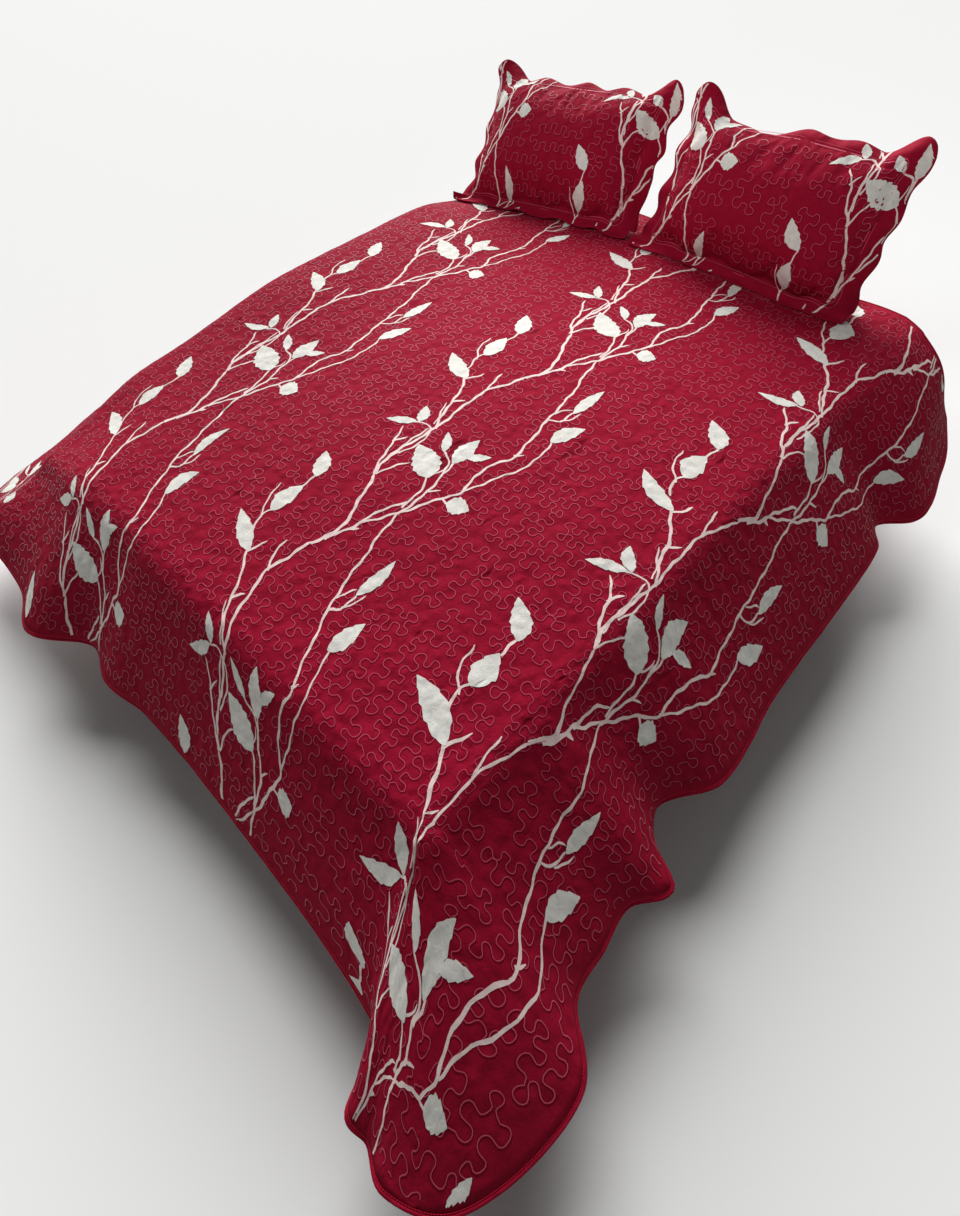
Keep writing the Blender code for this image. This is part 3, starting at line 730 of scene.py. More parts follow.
# One small leaf low on the tongue is out of the repeat's place
TONGUE_LEAF_CELL = (1, -2)
TONGUE_LEAF_SHIFT = (0.075, 0.1365)
TONGUE_LEAF_SCALE = (0.55, 0.42)
SHAM_PRINT_SCALE = 0.85
SHAM_PRINT_SHIFT = (-0.29, 0.12)
SHAM_PRINT_CENTRE = (0.175, -0.30)

# Each stem of the branch: width at its root and tip in mm, then its way in metres, across and along the cloth
STEMS = (
    ("trunk", 9.0, 8.0, ((0.16, -0.67), (0.185, -0.60), (0.165, -0.53), (0.12, -0.42))),
    ("long stem", 8.0, 7.5, ((0.12, -0.42), (0.10, -0.36), (0.115, -0.20), (0.112, -0.10), (0.115, 0.00),
                             (0.14, 0.06), (0.16, 0.12))),
    ("far left", 7.0, 5.0, ((0.12, -0.42), (0.09, -0.375), (0.07, -0.31), (0.04, -0.25))),
    ("left rail", 6.0, 5.0, ((0.105, -0.38), (0.10, -0.30), (0.10, -0.21))),
    ("leaf loop", 5.5, 4.5, ((0.11, -0.33), (0.125, -0.27), (0.12, -0.225), (0.09, -0.205), (0.045, -0.22))),
    ("upper left", 7.5, 6.5, ((0.12, -0.20), (0.09, -0.15), (0.075, -0.09), (0.05, -0.03), (0.02, 0.02))),
    ("double", 5.0, 4.0, ((0.10, -0.19), (0.08, -0.14), (0.067, -0.105))),
    ("bud stalk", 5.5, 5.0, ((0.005, 0.04), (-0.008, 0.09), (0.00, 0.13))),
    ("bud neck", 5.5, 5.0, ((0.00, 0.21), (0.002, 0.245), (0.004, 0.27))),
    ("bud spur", 5.0, 4.0, ((-0.005, 0.085), (-0.035, 0.13), (-0.048, 0.19))),
    ("short spur", 6.5, 6.0, ((0.075, -0.095), (0.10, -0.068))),
    ("leaf spur", 6.0, 5.0, ((0.033, 0.00), (0.05, 0.03), (0.058, 0.052))),
    ("top spur", 6.0, 6.0, ((0.115, 0.00), (0.102, 0.045), (0.10, 0.085))),
    ("low spur", 5.5, 5.0, ((0.065, -0.31), (0.085, -0.272))),
    ("to the oval", 6.0, 5.0, ((0.12, -0.42), (0.135, -0.37), (0.16, -0.335))),
    ("oval stalk", 6.0, 5.5, ((0.255, -0.45), (0.25, -0.40), (0.24, -0.36), (0.22, -0.33))),
    ("cluster stem", 7.0, 5.0, ((0.26, -0.47), (0.265, -0.38), (0.25, -0.31), (0.235, -0.265), (0.185, -0.243))),
    ("cluster top", 5.5, 5.0, ((0.25, -0.31), (0.243, -0.24))),
    ("cluster twig", 5.0, 4.0, ((0.243, -0.25), (0.26, -0.215))),
    ("cluster spur", 5.5, 5.0, ((0.265, -0.37), (0.285, -0.345))),
    ("cluster line", 4.5, 4.0, ((0.225, -0.335), (0.24, -0.30), (0.235, -0.28))),
    ("fork", 7.5, 6.0, ((0.18, -0.64), (0.203, -0.575), (0.215, -0.52), (0.23, -0.465), (0.25, -0.43))),
    ("second fork", 6.5, 6.0, ((0.21, -0.55), (0.24, -0.50), (0.26, -0.465))),
    ("knot", 10.0, 7.0, ((0.203, -0.575), (0.222, -0.565))),
    ("right stem", 7.0, 6.0, ((0.26, -0.465), (0.29, -0.40), (0.31, -0.35), (0.33, -0.31), (0.315, -0.25),
                              (0.325, -0.19), (0.345, -0.13), (0.335, -0.06), (0.32, 0.02), (0.31, 0.08),
                              (0.30, 0.15), (0.275, 0.24), (0.258, 0.32))),
    ("outer stem", 5.5, 5.0, ((0.33, -0.31), (0.35, -0.25), (0.38, -0.17), (0.393, -0.10), (0.38, -0.02))),
    ("right bud stalk", 7.0, 6.0, ((0.305, -0.36), (0.335, -0.365))),
    ("right spur", 5.5, 5.5, ((0.343, -0.135), (0.36, -0.115))),
    ("blade stalk", 5.5, 5.0, ((0.32, 0.03), (0.346, 0.05), (0.352, 0.10))),
    ("blade spur", 4.5, 4.0, ((0.346, 0.05), (0.365, 0.08), (0.37, 0.11))),
    ("blade twig", 4.5, 4.0, ((0.316, 0.06), (0.33, 0.09), (0.345, 0.105))),
)

# Leaves: place across and along, direction in degrees from the cloth's width, length and width in mm, teeth
LEAVES = (
    ("large pointed", 0.035, 0.005, 156, 128, 52, 3),
    ("bud", 0.000, 0.115, 93, 104, 58, 1),
    ("tip", 0.006, 0.262, 122, 98, 52, 3),
    ("half leaf", 0.055, -0.213, 207, 92, 32, 2),
    ("bud leaf", 0.062, -0.210, 120, 66, 34, 3),
    ("large oval", 0.232, -0.338, 152, 128, 84, 5),
    ("cluster left", 0.195, -0.247, 132, 72, 30, 2),
    ("cluster top", 0.241, -0.260, 92, 104, 50, 4),
    ("cluster right", 0.252, -0.222, 40, 64, 27, 2),
    ("round bud", 0.325, -0.365, 22, 58, 62, 3),
    ("outer leaf", 0.378, -0.030, 67, 104, 46, 2),
    ("blade", 0.353, 0.095, 92, 126, 36, 3),
)


def through(points, step):
    """Evenly spaced places along a smooth curve through the points."""
    p = np.array(points, dtype=float)
    p = np.concatenate([[2 * p[0] - p[1]], p, [2 * p[-1] - p[-2]]])
    fine = []
    for k in range(1, len(p) - 2):
        t = np.linspace(0.0, 1.0, 24, endpoint=False)[:, None]
        a, b, c, d = p[k - 1], p[k], p[k + 1], p[k + 2]
        fine.append(0.5 * (2 * b + (c - a) * t + (2 * a - 5 * b + 4 * c - d) * t ** 2
                           + (3 * b - a - 3 * c + d) * t ** 3))
    fine = np.concatenate(fine + [p[-2:-1]])
    gone = np.concatenate([[0.0], np.cumsum(np.linalg.norm(np.diff(fine, axis=0), axis=1))])
    at = np.linspace(0.0, gone[-1], max(int(gone[-1] / step), 2) + 1)
    return np.stack([np.interp(at, gone, fine[:, 0]), np.interp(at, gone, fine[:, 1])], axis=1), at


def side_of(path, closed=False):
    """Unit vectors to the left of a path."""
    if closed:
        run = np.roll(path, -1, axis=0) - np.roll(path, 1, axis=0)
    else:
        run = np.gradient(path, axis=0)
    run /= np.maximum(np.linalg.norm(run, axis=1, keepdims=True), 1e-9)
    return np.stack([-run[:, 1], run[:, 0]], axis=1)


def stem_patch(stem, chance):
    """One stem as a strip three points wide, a little knotty and crooked."""
    _, root_mm, tip_mm, way = stem
    path, gone = through(way, 0.010)
    left = side_of(path)
    long = gone[-1]
    phase = chance.uniform(0.0, 6.0)
    bend = 0.0022 * np.sin(gone * 58.0 + phase) + 0.0013 * np.sin(gone * 143.0 + 2.0 * phase)
    width = (root_mm + (tip_mm - root_mm) * gone / long) * MM
    width *= 1.0 + 0.16 * np.sin(gone * 95.0 + phase) + 0.10 * np.sin(gone * 231.0 + phase)
    width *= np.minimum(1.0, np.sqrt(np.maximum(long - gone, 0.0) / 0.004) + 0.35)
    path = path + left * bend[:, None]
    strip = np.stack([path - left * width[:, None] / 2, path, path + left * width[:, None] / 2], axis=1)
    return strip


def leaf_patch(leaf, chance):
    """One leaf as a small grid, pointed, toothed on its edges, with a short stalk end."""
    _, across, along, turn, long_mm, wide_mm, teeth = leaf
    steps, half = 18, 3
    s = np.linspace(0.0, 1.0, steps + 1)
    turn = math.radians(turn + chance.uniform(-7.0, 7.0))
    long, wide = long_mm * MM * chance.uniform(0.92, 1.08), wide_mm * MM * chance.uniform(0.92, 1.08)
    body = np.sin(np.pi * s ** 0.82) ** 0.85 if teeth else np.sin(np.pi * s ** 0.9) ** 0.62
    body = np.maximum(body, 0.05)
    lean = chance.uniform(-0.10, 0.10)
    patch = np.zeros((steps + 1, 2 * half + 1, 2))
    for k in range(-half, half + 1):
        edge = abs(k) / half
        saw = ((s * (teeth + 1.5) + (0.3 if k > 0 else 0.0)) % 1.0) * 0.22 if teeth else 0.0
        reach = body * (1.0 - saw * edge ** 3) * wide / 2.0 * k / half
        bow = lean * np.sin(np.pi * s) * long
        patch[:, k + half, 0] = s * long * math.cos(turn) - (reach + bow) * math.sin(turn)
        patch[:, k + half, 1] = s * long * math.sin(turn) + (reach + bow) * math.cos(turn)
    patch += np.array([across, along])
    return patch


def branches(columns, rows, chance, moved):
    """The branch's stems and leaves at each repeat, moved to where they lie on the cloth."""
    stems, leaves = [], []
    for across in columns:
        for along in rows:
            place = np.array([across * REPEAT_ACROSS, along * REPEAT_ALONG])
            stems += [moved(stem_patch(stem, chance) + place) for stem in STEMS]
            leaves += [moved(leaf_patch(leaf, chance) + place) for leaf in LEAVES]
    return stems, leaves


def laid_piece(name, surface, flats, faces, above, material):
    """One piece on the surface, from faces over places in the flat cloth, all turned the way the cloth looks."""
    used = np.unique(faces)
    renumber = np.full(len(flats), -1)
    renumber[used] = np.arange(len(used))
    flats, faces = flats[used], renumber[faces]
    x, y = flats[faces, 0], flats[faces, 1]
    area = (np.roll(x, 1, axis=1) * y - x * np.roll(y, 1, axis=1)).sum(axis=1)
    faces[area < 0.0] = faces[area < 0.0][:, [0, 3, 2, 1]]
    return mesh_object(name, surface.place(flats, above), faces, material, flats)


def lay_patches(name, surface, patches, above, material, margin):
    """Lays flat patches on the surface as one piece, without what falls past the cloth's edge."""
    faces, flats, start = [], [], 0
    for patch in patches:
        flat, quads = patch.reshape(-1, 2), quads_of(*patch.shape[:2])
        faces.append(quads[surface.inside(flat, margin)[quads].all(axis=1)] + start)
        flats.append(flat)
        start += len(flat)
    return laid_piece(name, surface, np.concatenate(flats), np.concatenate(faces), above, material)


def lay_print(prefix, surface, stems, leaves, margin):
    return [lay_patches(prefix + "stems", surface, stems, STEM_LIFT, MADE["stem_print"], margin),
            lay_patches(prefix + "leaves", surface, leaves, LEAF_LIFT, MADE["leaf_print"], margin)]


# The stitching: one closed line that wanders over the whole cloth and swings from side to side in lobes

def wandering_line(width, height, pitch, seed):
    """A closed line that passes every place of a grid: the way round a random tree drawn between the places."""
    chance = random.Random(seed)
    columns, rows = max(int(width / (2 * pitch)), 2), max(int(height / (2 * pitch)), 2)
    joined = set()
    came = {}
    seen = {(columns // 2, rows // 2)}
    edge = [(columns // 2, rows // 2)]
    while edge:
        pick = chance.randrange(len(edge)) if chance.random() < BRANCHING_SHARE else len(edge) - 1
        i, j = edge[pick]
        ways = [(i + a, j + b) for a, b in ((1, 0), (-1, 0), (0, 1), (0, -1))
                if 0 <= i + a < columns and 0 <= j + b < rows and (i + a, j + b) not in seen]
        if not ways:
            edge.pop(pick)
            continue
        turning = [n for n in ways if (n[0] - i, n[1] - j) != came.get((i, j))]
        there = chance.choice(turning if turning and chance.random() < TURNING_SHARE else ways)
        came[there] = (there[0] - i, there[1] - j)
        seen.add(there)
        edge.append(there)
        joined.add(frozenset(((i, j), there)))

    def tied(a, b):
        return frozenset((a, b)) in joined

    def neighbours(x, y):
        i, j = x // 2, y // 2
        right, up = x % 2, y % 2
        found = []
        # within the cell, past the tree's own lines
        if not tied((i, j), (i, j + (1 if up else -1))):
            found.append((x + (1 - 2 * right), y))
        if not tied((i, j), (i + (1 if right else -1), j)):
            found.append((x, y + (1 - 2 * up)))
        # out of the cell, beside a line of the tree
        if tied((i, j), (i + (1 if right else -1), j)):
            found.append((x + (1 if right else -1), y))
        if tied((i, j), (i, j + (1 if up else -1))):
            found.append((x, y + (1 if up else -1)))
        return found

    line = [(0, 0)]
    before, here = None, (0, 0)
    while True:
        ahead = [n for n in neighbours(*here) if n != before]
        before, here = here, ahead[0]
        if here == (0, 0):
            break
        line.append(here)
    places = (np.array(line, dtype=float) + 0.5) * pitch
    places *= np.array([width / (2 * columns * pitch), height / (2 * rows * pitch)])
    return places


def rounded(line, times):
    """Cuts the corners of a closed line, again and again."""
    for _ in range(times):
        after = np.roll(line, -1, axis=0)
        line = np.stack([line * 0.75 + after * 0.25, line * 0.25 + after * 0.75], axis=1).reshape(-1, 2)
    return line


def ribbon(name, surface, lines, wide, above, margin, material):
    """A flat ribbon along closed lines in the flat cloth, without what falls past the cloth's edge."""
    faces, flats, start = [], [], 0
    for line in lines:
        left = side_of(line, closed=True) * wide / 2.0
        flats.append(np.concatenate([line - left, line + left]))
        count = len(line)
        here = np.arange(count)
        after = np.roll(here, -1)
        quads = np.stack([here, after, after + count, here + count], axis=1)
        kept = surface.inside(line, margin)
        faces.append(quads[kept & np.roll(kept, -1)] + start)
        start += 2 * count
    return laid_piece(name, surface, np.concatenate(flats), np.concatenate(faces), above, material)


def lay_stitching(prefix, surface, limits, seed, s, margin):
    """The line of quilting stitches over a stretch of flat cloth, and a darker ribbon just aside from it: painted
    shade where the stitches draw the cloth down.
    """
    line = quilting_line(limits, s.stitch_pitch, seed)
    aside = np.array([GROOVE_SHADE_ASIDE, -GROOVE_SHADE_ASIDE])
    # A darker crimson ribbon under the thread, as painted shade, then the thread itself
    return [ribbon(prefix + "grooves", surface, [line + aside], s.groove_width, GROOVE_SHADE_LIFT, margin, MADE["groove"]),
            ribbon(prefix + "stitching", surface, [line], s.stitch_width, STITCH_LIFT, margin, MADE["thread"])]


def evenly(line, step):
    """A closed line with its places a step apart."""
    closed = np.concatenate([line, line[:1]])
    gone = np.concatenate([[0.0], np.cumsum(np.linalg.norm(np.diff(closed, axis=0), axis=1))])
    at = np.linspace(0.0, gone[-1], int(gone[-1] / step), endpoint=False)
    return np.stack([np.interp(at, gone, closed[:, 0]), np.interp(at, gone, closed[:, 1])], axis=1)


def lobed(line, seed):
    """Swings a closed line from side to side in round lobes, each a little different."""
    line = evenly(line, LOBE_STEP)
    count = 2 * int(len(line) * LOBE_STEP / (2.0 * LOBE_LENGTH))
    chance = random.Random(seed)
    lengths = np.array([chance.uniform(*LOBE_LENGTHS) for _ in range(count)])
    depths = np.array([chance.uniform(*LOBE_DEPTHS) for _ in range(count)])
    ends = np.concatenate([[0.0], np.cumsum(lengths / lengths.sum())])
    phase = np.interp(np.linspace(0.0, 1.0, len(line), endpoint=False), ends, np.arange(count + 1.0))
    depth = np.interp(phase, np.arange(count) + 0.5, depths) * LOBE_DEPTH
    aside = side_of(line, closed=True)
    along = np.stack([aside[:, 1], -aside[:, 0]], axis=1)
    swing = aside * (np.sin(np.pi * phase) * depth)[:, None]
    return line + swing - along * (np.sin(2.0 * np.pi * phase) * LOBE_BULGE)[:, None]


def quilting_line(limits, pitch, seed):
    """The wandering line over a stretch of flat cloth, in lobes, with a place every few millimetres."""
    (u0, u1), (v0, v1) = limits
    line = wandering_line(u1 - u0, v1 - v0, pitch, seed) + np.array([u0, v0])
    shift = np.stack([spread_noise(line[:, 0], line[:, 1], LINE_DRIFT_SIZE, layer) for layer in (2.0, 9.0)], axis=1)
    chance = random.Random(seed + 1)
    own = np.array([[chance.uniform(-1.0, 1.0), chance.uniform(-1.0, 1.0)] for _ in line])
    line = rounded(line + (shift * LINE_DRIFT + own * LINE_DRIFT) * pitch, 3)
    return evenly(lobed(line, seed + 2), STITCH_STEP)


# Operators

def length_property(name, about, default):
    return bpy.props.FloatProperty(name=name, description=about, default=default, unit="LENGTH")


def angle_property(name, about, degrees):
    return bpy.props.FloatProperty(name=name, description=about, default=math.radians(degrees), subtype="ANGLE")


def colour_property(name, about, default):
    return bpy.props.StringProperty(name=name, description=about + ", sRGB", default=default)


class QuiltSettings(bpy.types.PropertyGroup):
    thickness: length_property("Thickness", "Thickness of the quilted cloth", 0.005)
    stitch_pitch: length_property("Stitch spacing", "Distance between lines of stitching", 0.040)
    stitch_width: length_property("Stitch width", "Width of a line of stitching", 0.0018)
    # Width of the darker ribbon under each stitch line: painted shade where the cloth is drawn down
    groove_width: length_property("Groove width", "Width of cloth drawn down by a stitch line", 0.0046)
    binding_width: length_property("Binding width", "Width of the rolled edge", 0.010)
    cloth: colour_property("Cloth", "Dyed colour of the cloth", "#9E1230")
    # The darker crimson that the cloth takes as painted shade in its crinkles and creases
    deep: colour_property("Hollows", "Colour in the cloth's hollows", "#7E0820")
    print: colour_property("Leaves", "Colour of the printed leaves", "#EEEBE2")
    stems: colour_property("Stems", "Colour of the printed stems", "#F6DEDA")
    # The darker crimson of that ribbon: painted shade beside the stitches
    groove: colour_property("Grooves", "Colour of the cloth beside the stitches", "#780B21")
    thread: colour_property("Thread", "Colour of the quilting thread", "#CC4963")
    edge_thread: colour_property("Edge thread", "Colour of the edge's thread", "#E01238")


class StageSettings(bpy.types.PropertyGroup):
    focal_px: bpy.props.FloatProperty(name="Focal length", description="In pixels of the photo's height",
                                      default=650.0, subtype="PIXEL")
    camera_x: length_property("Camera X", "Camera place", 1.192)
    camera_y: length_property("Camera Y", "Camera place", -1.086)
    camera_z: length_property("Camera Z", "Camera place", 1.782)
    heading: angle_property("Heading", "Camera heading, left of +Y", 46.84)
    down: angle_property("Down", "Camera tilt below the level", 55.96)
    roll: angle_property("Roll", "Camera roll", -3.63)


MADE = {}
SUN_ENERGY = 5.3
SUN_ANGLE = math.radians(50.0)
SUN_FROM = (-0.62, 0.52, 0.49)
FILL_POWER = 105.0
FILL_CONE = math.radians(62.0)
FILL_SIZE = 0.5
FILL_PLACE = (-0.1, -0.9, 2.5)
FILL_AIM = (0.0, 1.0, 0.72)
ROOM_LIGHT = 0.10


def settle(piece, replaced=None):
    """Rides a piece on the part's one body, with the node that it replaces."""
    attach(piece, "root")
    if replaced:
        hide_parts(replaced)


class BEDSET_OT_stage(bpy.types.Operator):
    """Floor, soft light and the camera at the photo's viewing angle"""
    bl_idname = "bedset.stage"
    bl_label = "Stage"

    def execute(self, context):
        self.floor(context)
        self.lights(context)
        self.camera(context, context.scene.bedset_stage)
        return {"FINISHED"}

    def floor(self, context):
        clean_selection()
        bpy.ops.mesh.primitive_plane_add(size=40.0, location=(0.0, 0.0, 0.0))
        floor = context.active_object
        floor.name = "floor"
        material, tree, shader = new_material("matt_paper_floor", 0.9, 0.0, "#F4F4F3")
        tree.links.new(bump(tree, cloud(tree, object_place(tree), 60.0, 3.0), 0.5, 0.1), shader.inputs["Normal"])
        floor.data.materials.append(material)

    def lights(self, context):
        """A wide soft light from beyond the bed's head, and a small one that reaches the shams' fronts."""
        sun = bpy.data.lights.new("soft_key", "SUN")
        sun.energy, sun.angle = SUN_ENERGY, SUN_ANGLE
        spot = bpy.data.lights.new("sham_fill", "SPOT")
        spot.energy, spot.spot_size, spot.spot_blend, spot.shadow_soft_size = FILL_POWER, FILL_CONE, 1.0, FILL_SIZE
        for light, place, way in ((sun, (0.0, 0.0, 0.0), Vector(SUN_FROM)),
                                  (spot, FILL_PLACE, Vector(FILL_PLACE) - Vector(FILL_AIM))):
            obj = bpy.data.objects.new(light.name, light)
            obj.location = place
            obj.rotation_euler = way.to_track_quat("Z", "Y").to_euler()
            context.scene.collection.objects.link(obj)
        world = bpy.data.worlds.new("pale_room")
        world.use_nodes = True
        background = world.node_tree.nodes["Background"]
        background.inputs["Color"].default_value = (1.0, 1.0, 1.0, 1.0)
        background.inputs["Strength"].default_value = ROOM_LIGHT
        context.scene.world = world
        context.scene.view_settings.view_transform = "Standard"

    def camera(self, context, s):
        look = Vector((-math.sin(s.heading) * math.cos(s.down), math.cos(s.heading) * math.cos(s.down),
                       -math.sin(s.down)))
        level = look.cross(Vector((0.0, 0.0, 1.0))).normalized()
        up = level.cross(look)
        right = math.cos(s.roll) * level + math.sin(s.roll) * up
        top = -math.sin(s.roll) * level + math.cos(s.roll) * up
        data = bpy.data.cameras.new("photo_view")
        data.sensor_width = 36.0
        data.lens = data.sensor_width * s.focal_px / PHOTO_HEIGHT
        data.clip_start = 0.05
        obj = bpy.data.objects.new("photo_view", data)
        matrix = Matrix((right, top, -look)).transposed().to_4x4()
        matrix.translation = (s.camera_x, s.camera_y, s.camera_z)
        obj.matrix_world = matrix
        context.scene.collection.objects.link(obj)
        context.scene.camera = obj


class BEDSET_OT_quilt(bpy.types.Operator):
    """The quilted cloth, draped over the bed"""
    bl_idname = "bedset.quilt"
    bl_label = "Quilt"

    def execute(self, context):
        s = context.scene.bedset_quilt
        surface = quilt_surface()
        surface.lift = s.thickness / 2.0
        material = quilted_cotton("quilted_cotton", s)
        quilt = thick_sheet("quilt_cloth", surface, s.thickness, material)
        MADE.update(surface=surface, quilt=quilt, cotton=material)
        settle(quilt, "quilt")
        return {"FINISHED"}


class BEDSET_OT_print(bpy.types.Operator):
    """The printed branches and leaves of the quilt"""
    bl_idname = "bedset.print"
    bl_label = "Print"

    def leaned(self, patch):
        """A patch of the print, moved as PRINT_MOVES says."""
        u, v = patch[..., 0], patch[..., 1]
        across, down = 0.0, 0.0
        for _, move_across, move_down, u_start, u_full, v_start, v_full in PRINT_MOVES:
            share = between(u, u_start, u_full) * between(v, v_start, v_full)
            across, down = across + move_across * share, down + move_down * share
        return np.stack([u + across, v - down], axis=-1)

    def execute(self, context):
        s = context.scene.bedset_quilt
        # The second colour of each print is its painted shade in the crinkles
        MADE["leaf_print"] = print_cotton("leaf_print_cotton", s.print, "#B9BEC0")
        MADE["stem_print"] = print_cotton("stem_print_cotton", s.stems, "#E3BDBC")
        stems, leaves = branches(PRINT_COLUMNS, PRINT_ROWS, random.Random(PRINT_SEED), self.leaned)
        column, row = TONGUE_LEAF_CELL
        cell = PRINT_COLUMNS.index(column) * len(PRINT_ROWS) + PRINT_ROWS.index(row)
        low = (cell + 1) * len(LEAVES) - 1
        middle = leaves[low].reshape(-1, 2).mean(axis=0)
        leaves[low] = middle + (leaves[low] - middle) * np.array(TONGUE_LEAF_SCALE) + np.array(TONGUE_LEAF_SHIFT)
        MADE["printed"] = lay_print("quilt_print_", MADE["surface"], stems, leaves, PRINT_MARGIN)
        for piece in MADE["printed"]:
            settle(piece)
        return {"FINISHED"}


class BEDSET_OT_stitching(bpy.types.Operator):
    """The wandering line of quilting stitches over the quilt"""
    bl_idname = "bedset.stitching"
    bl_label = "Quilting stitches"

    def execute(self, context):
        s = context.scene.bedset_quilt
        surface = MADE["surface"]
        MADE["thread"] = thread_material("quilting_thread", s.thread)
        # Painted shade for the cloth beside the stitches
        MADE["groove"] = groove_cotton("stitched_down_cotton", s.groove)
        limits = ((surface.us[0], surface.us[-1]), (surface.vs[0], surface.vs[-1]))
        MADE["stitched"] = lay_stitching("quilt_", surface, limits, STITCH_SEED, s, STITCH_MARGIN)
        for piece in MADE["stitched"]:
            settle(piece)
        return {"FINISHED"}


class BEDSET_OT_binding(bpy.types.Operator):
    """The rolled edge round the quilt, with its line of edge stitches"""
    bl_idname = "bedset.binding"
    bl_label = "Binding"

    def execute(self, context):
        s = context.scene.bedset_quilt
        surface = MADE["surface"]
        rows, columns = surface.grid.shape[:2]
        rim = rim_of(rows, columns)
        line = surface.grid[rim[:, 0], rim[:, 1]]
        up = surface.normals[rim[:, 0], rim[:, 1]]
        run = np.roll(line, -1, axis=0) - np.roll(line, 1, axis=0)
        run /= np.linalg.norm(run, axis=1, keepdims=True)
        out = np.cross(run, up)
        out /= np.linalg.norm(out, axis=1, keepdims=True)
        turn = np.linspace(0.0, 2.0 * np.pi, ROLL_SIDES, endpoint=False)
        centre = line + out * (s.binding_width * 0.46)
        ring = (centre[:, None] - out[:, None] * (np.cos(turn) * s.binding_width * 0.5)[None, :, None]
                + up[:, None] * (np.sin(turn) * ROLL_HALF_HEIGHT)[None, :, None])
        count = len(rim)
        start = np.arange(count)[:, None] * ROLL_SIDES
        here = (start + np.arange(ROLL_SIDES)).ravel()
        around = (start + (np.arange(ROLL_SIDES) + 1) % ROLL_SIDES).ravel()
        total = count * ROLL_SIDES
        faces = np.stack([here, around, (around + ROLL_SIDES) % total, (here + ROLL_SIDES) % total], axis=1)
        length = np.concatenate([[0.0], np.cumsum(np.linalg.norm(np.diff(line, axis=0), axis=1))])
        uvs = np.stack([np.repeat(length, ROLL_SIDES), np.tile(turn / 2.0 / np.pi * 0.03, count)], axis=1)
        roll = quilted_cotton("rolled_edge_cotton", s)
        binding = mesh_object("quilt_rolled_edge", ring.reshape(-1, 3), faces, roll, uvs)
        settle(binding, "quilt_binding")
        stitches = self.edge_stitches(line, out, up, length, s)
        settle(stitches)
        return {"FINISHED"}

    def edge_stitches(self, line, out, up, length, s):
        """Short stitches along the inner side of the edge, each a small ridge of nine points."""
        inside = line - out * EDGE_STITCH_INSIDE
        starts = np.arange(0.0, length[-1] - EDGE_STITCH_LENGTH, EDGE_STITCH_EVERY)
        rows = []
        for part in (0.0, 0.5, 1.0):
            at = starts + EDGE_STITCH_LENGTH * part
            middle, aside, above = (np.stack([np.interp(at, length, field[:, k]) for k in range(3)], axis=1)
                                    for field in (inside, out, up))
            base = EDGE_STITCH_BASE + (EDGE_STITCH_LIFT if part == 0.5 else 0.0)
            half = aside * EDGE_STITCH_WIDTH / 2
            rows.append(np.stack([middle - half + above * base, middle + above * (base + EDGE_STITCH_LIFT * 0.6),
                                  middle + half + above * base], axis=1))
        points = np.stack(rows, axis=1).reshape(-1, 3)
        first = np.arange(len(starts))[:, None] * 9
        quads = np.array([[0, 1, 4, 3], [1, 2, 5, 4], [3, 4, 7, 6], [4, 5, 8, 7]])
        faces = (first[:, :, None] + quads[None]).reshape(-1, 4)
        thread = thread_material("edge_thread", s.edge_thread)
        return mesh_object("quilt_edge_stitches", points, faces[:, ::-1], thread)


def sham_outline(across, up, top_dip, ear_dip, spread):
    """Shape of the sham laid flat: rounded ears at the corners, edges that pull in and wave between them."""
    x, y = across * SHAM_WIDTH / 2.0, up * SHAM_HEIGHT / 2.0
    inner_x, inner_y = SHAM_WIDTH / 2.0 - EAR_RADIUS, SHAM_HEIGHT / 2.0 - EAR_RADIUS
    over_x = np.clip((np.abs(x) - inner_x) / EAR_RADIUS, 0.0, 1.0)
    over_y = np.clip((np.abs(y) - inner_y) / EAR_RADIUS, 0.0, 1.0)
    corner = (over_x > 0.0) & (over_y > 0.0)
    round_x = inner_x + EAR_RADIUS * over_x * np.sqrt(1.0 - over_y ** 2 / 2.0)
    round_y = inner_y + EAR_RADIUS * over_y * np.sqrt(1.0 - over_x ** 2 / 2.0)
    x = np.where(corner, np.copysign(round_x, across), x)
    y = np.where(corner, np.copysign(round_y, up), y)
    along_side = 1.0 - ease((np.abs(up) - 0.50) / 0.34)
    along_top = 1.0 - ease((np.abs(across) - 0.62) / 0.26)
    dip = (top_dip * along_top + ear_dip * np.exp(-((across - DIP_PLACE) / DIP_WIDTH) ** 2)) * (up > 0.0)
    pull_x = (EDGE_PULL + EDGE_WAVE * np.cos(np.pi * up * SHAM_HEIGHT / SIDE_WAVE_LENGTH)) * along_side
    pull_y = (TOP_PULL - EDGE_WAVE * np.cos(np.pi * across * SHAM_WIDTH / TOP_WAVE_LENGTH)) * along_top
    x = x - np.copysign(pull_x * np.abs(across) ** 4, across)
    y = y - np.copysign((pull_y + dip) * np.abs(up) ** 3, up)
    return x - spread * np.maximum(-across, 0.0) * (0.5 - 0.5 * up), y


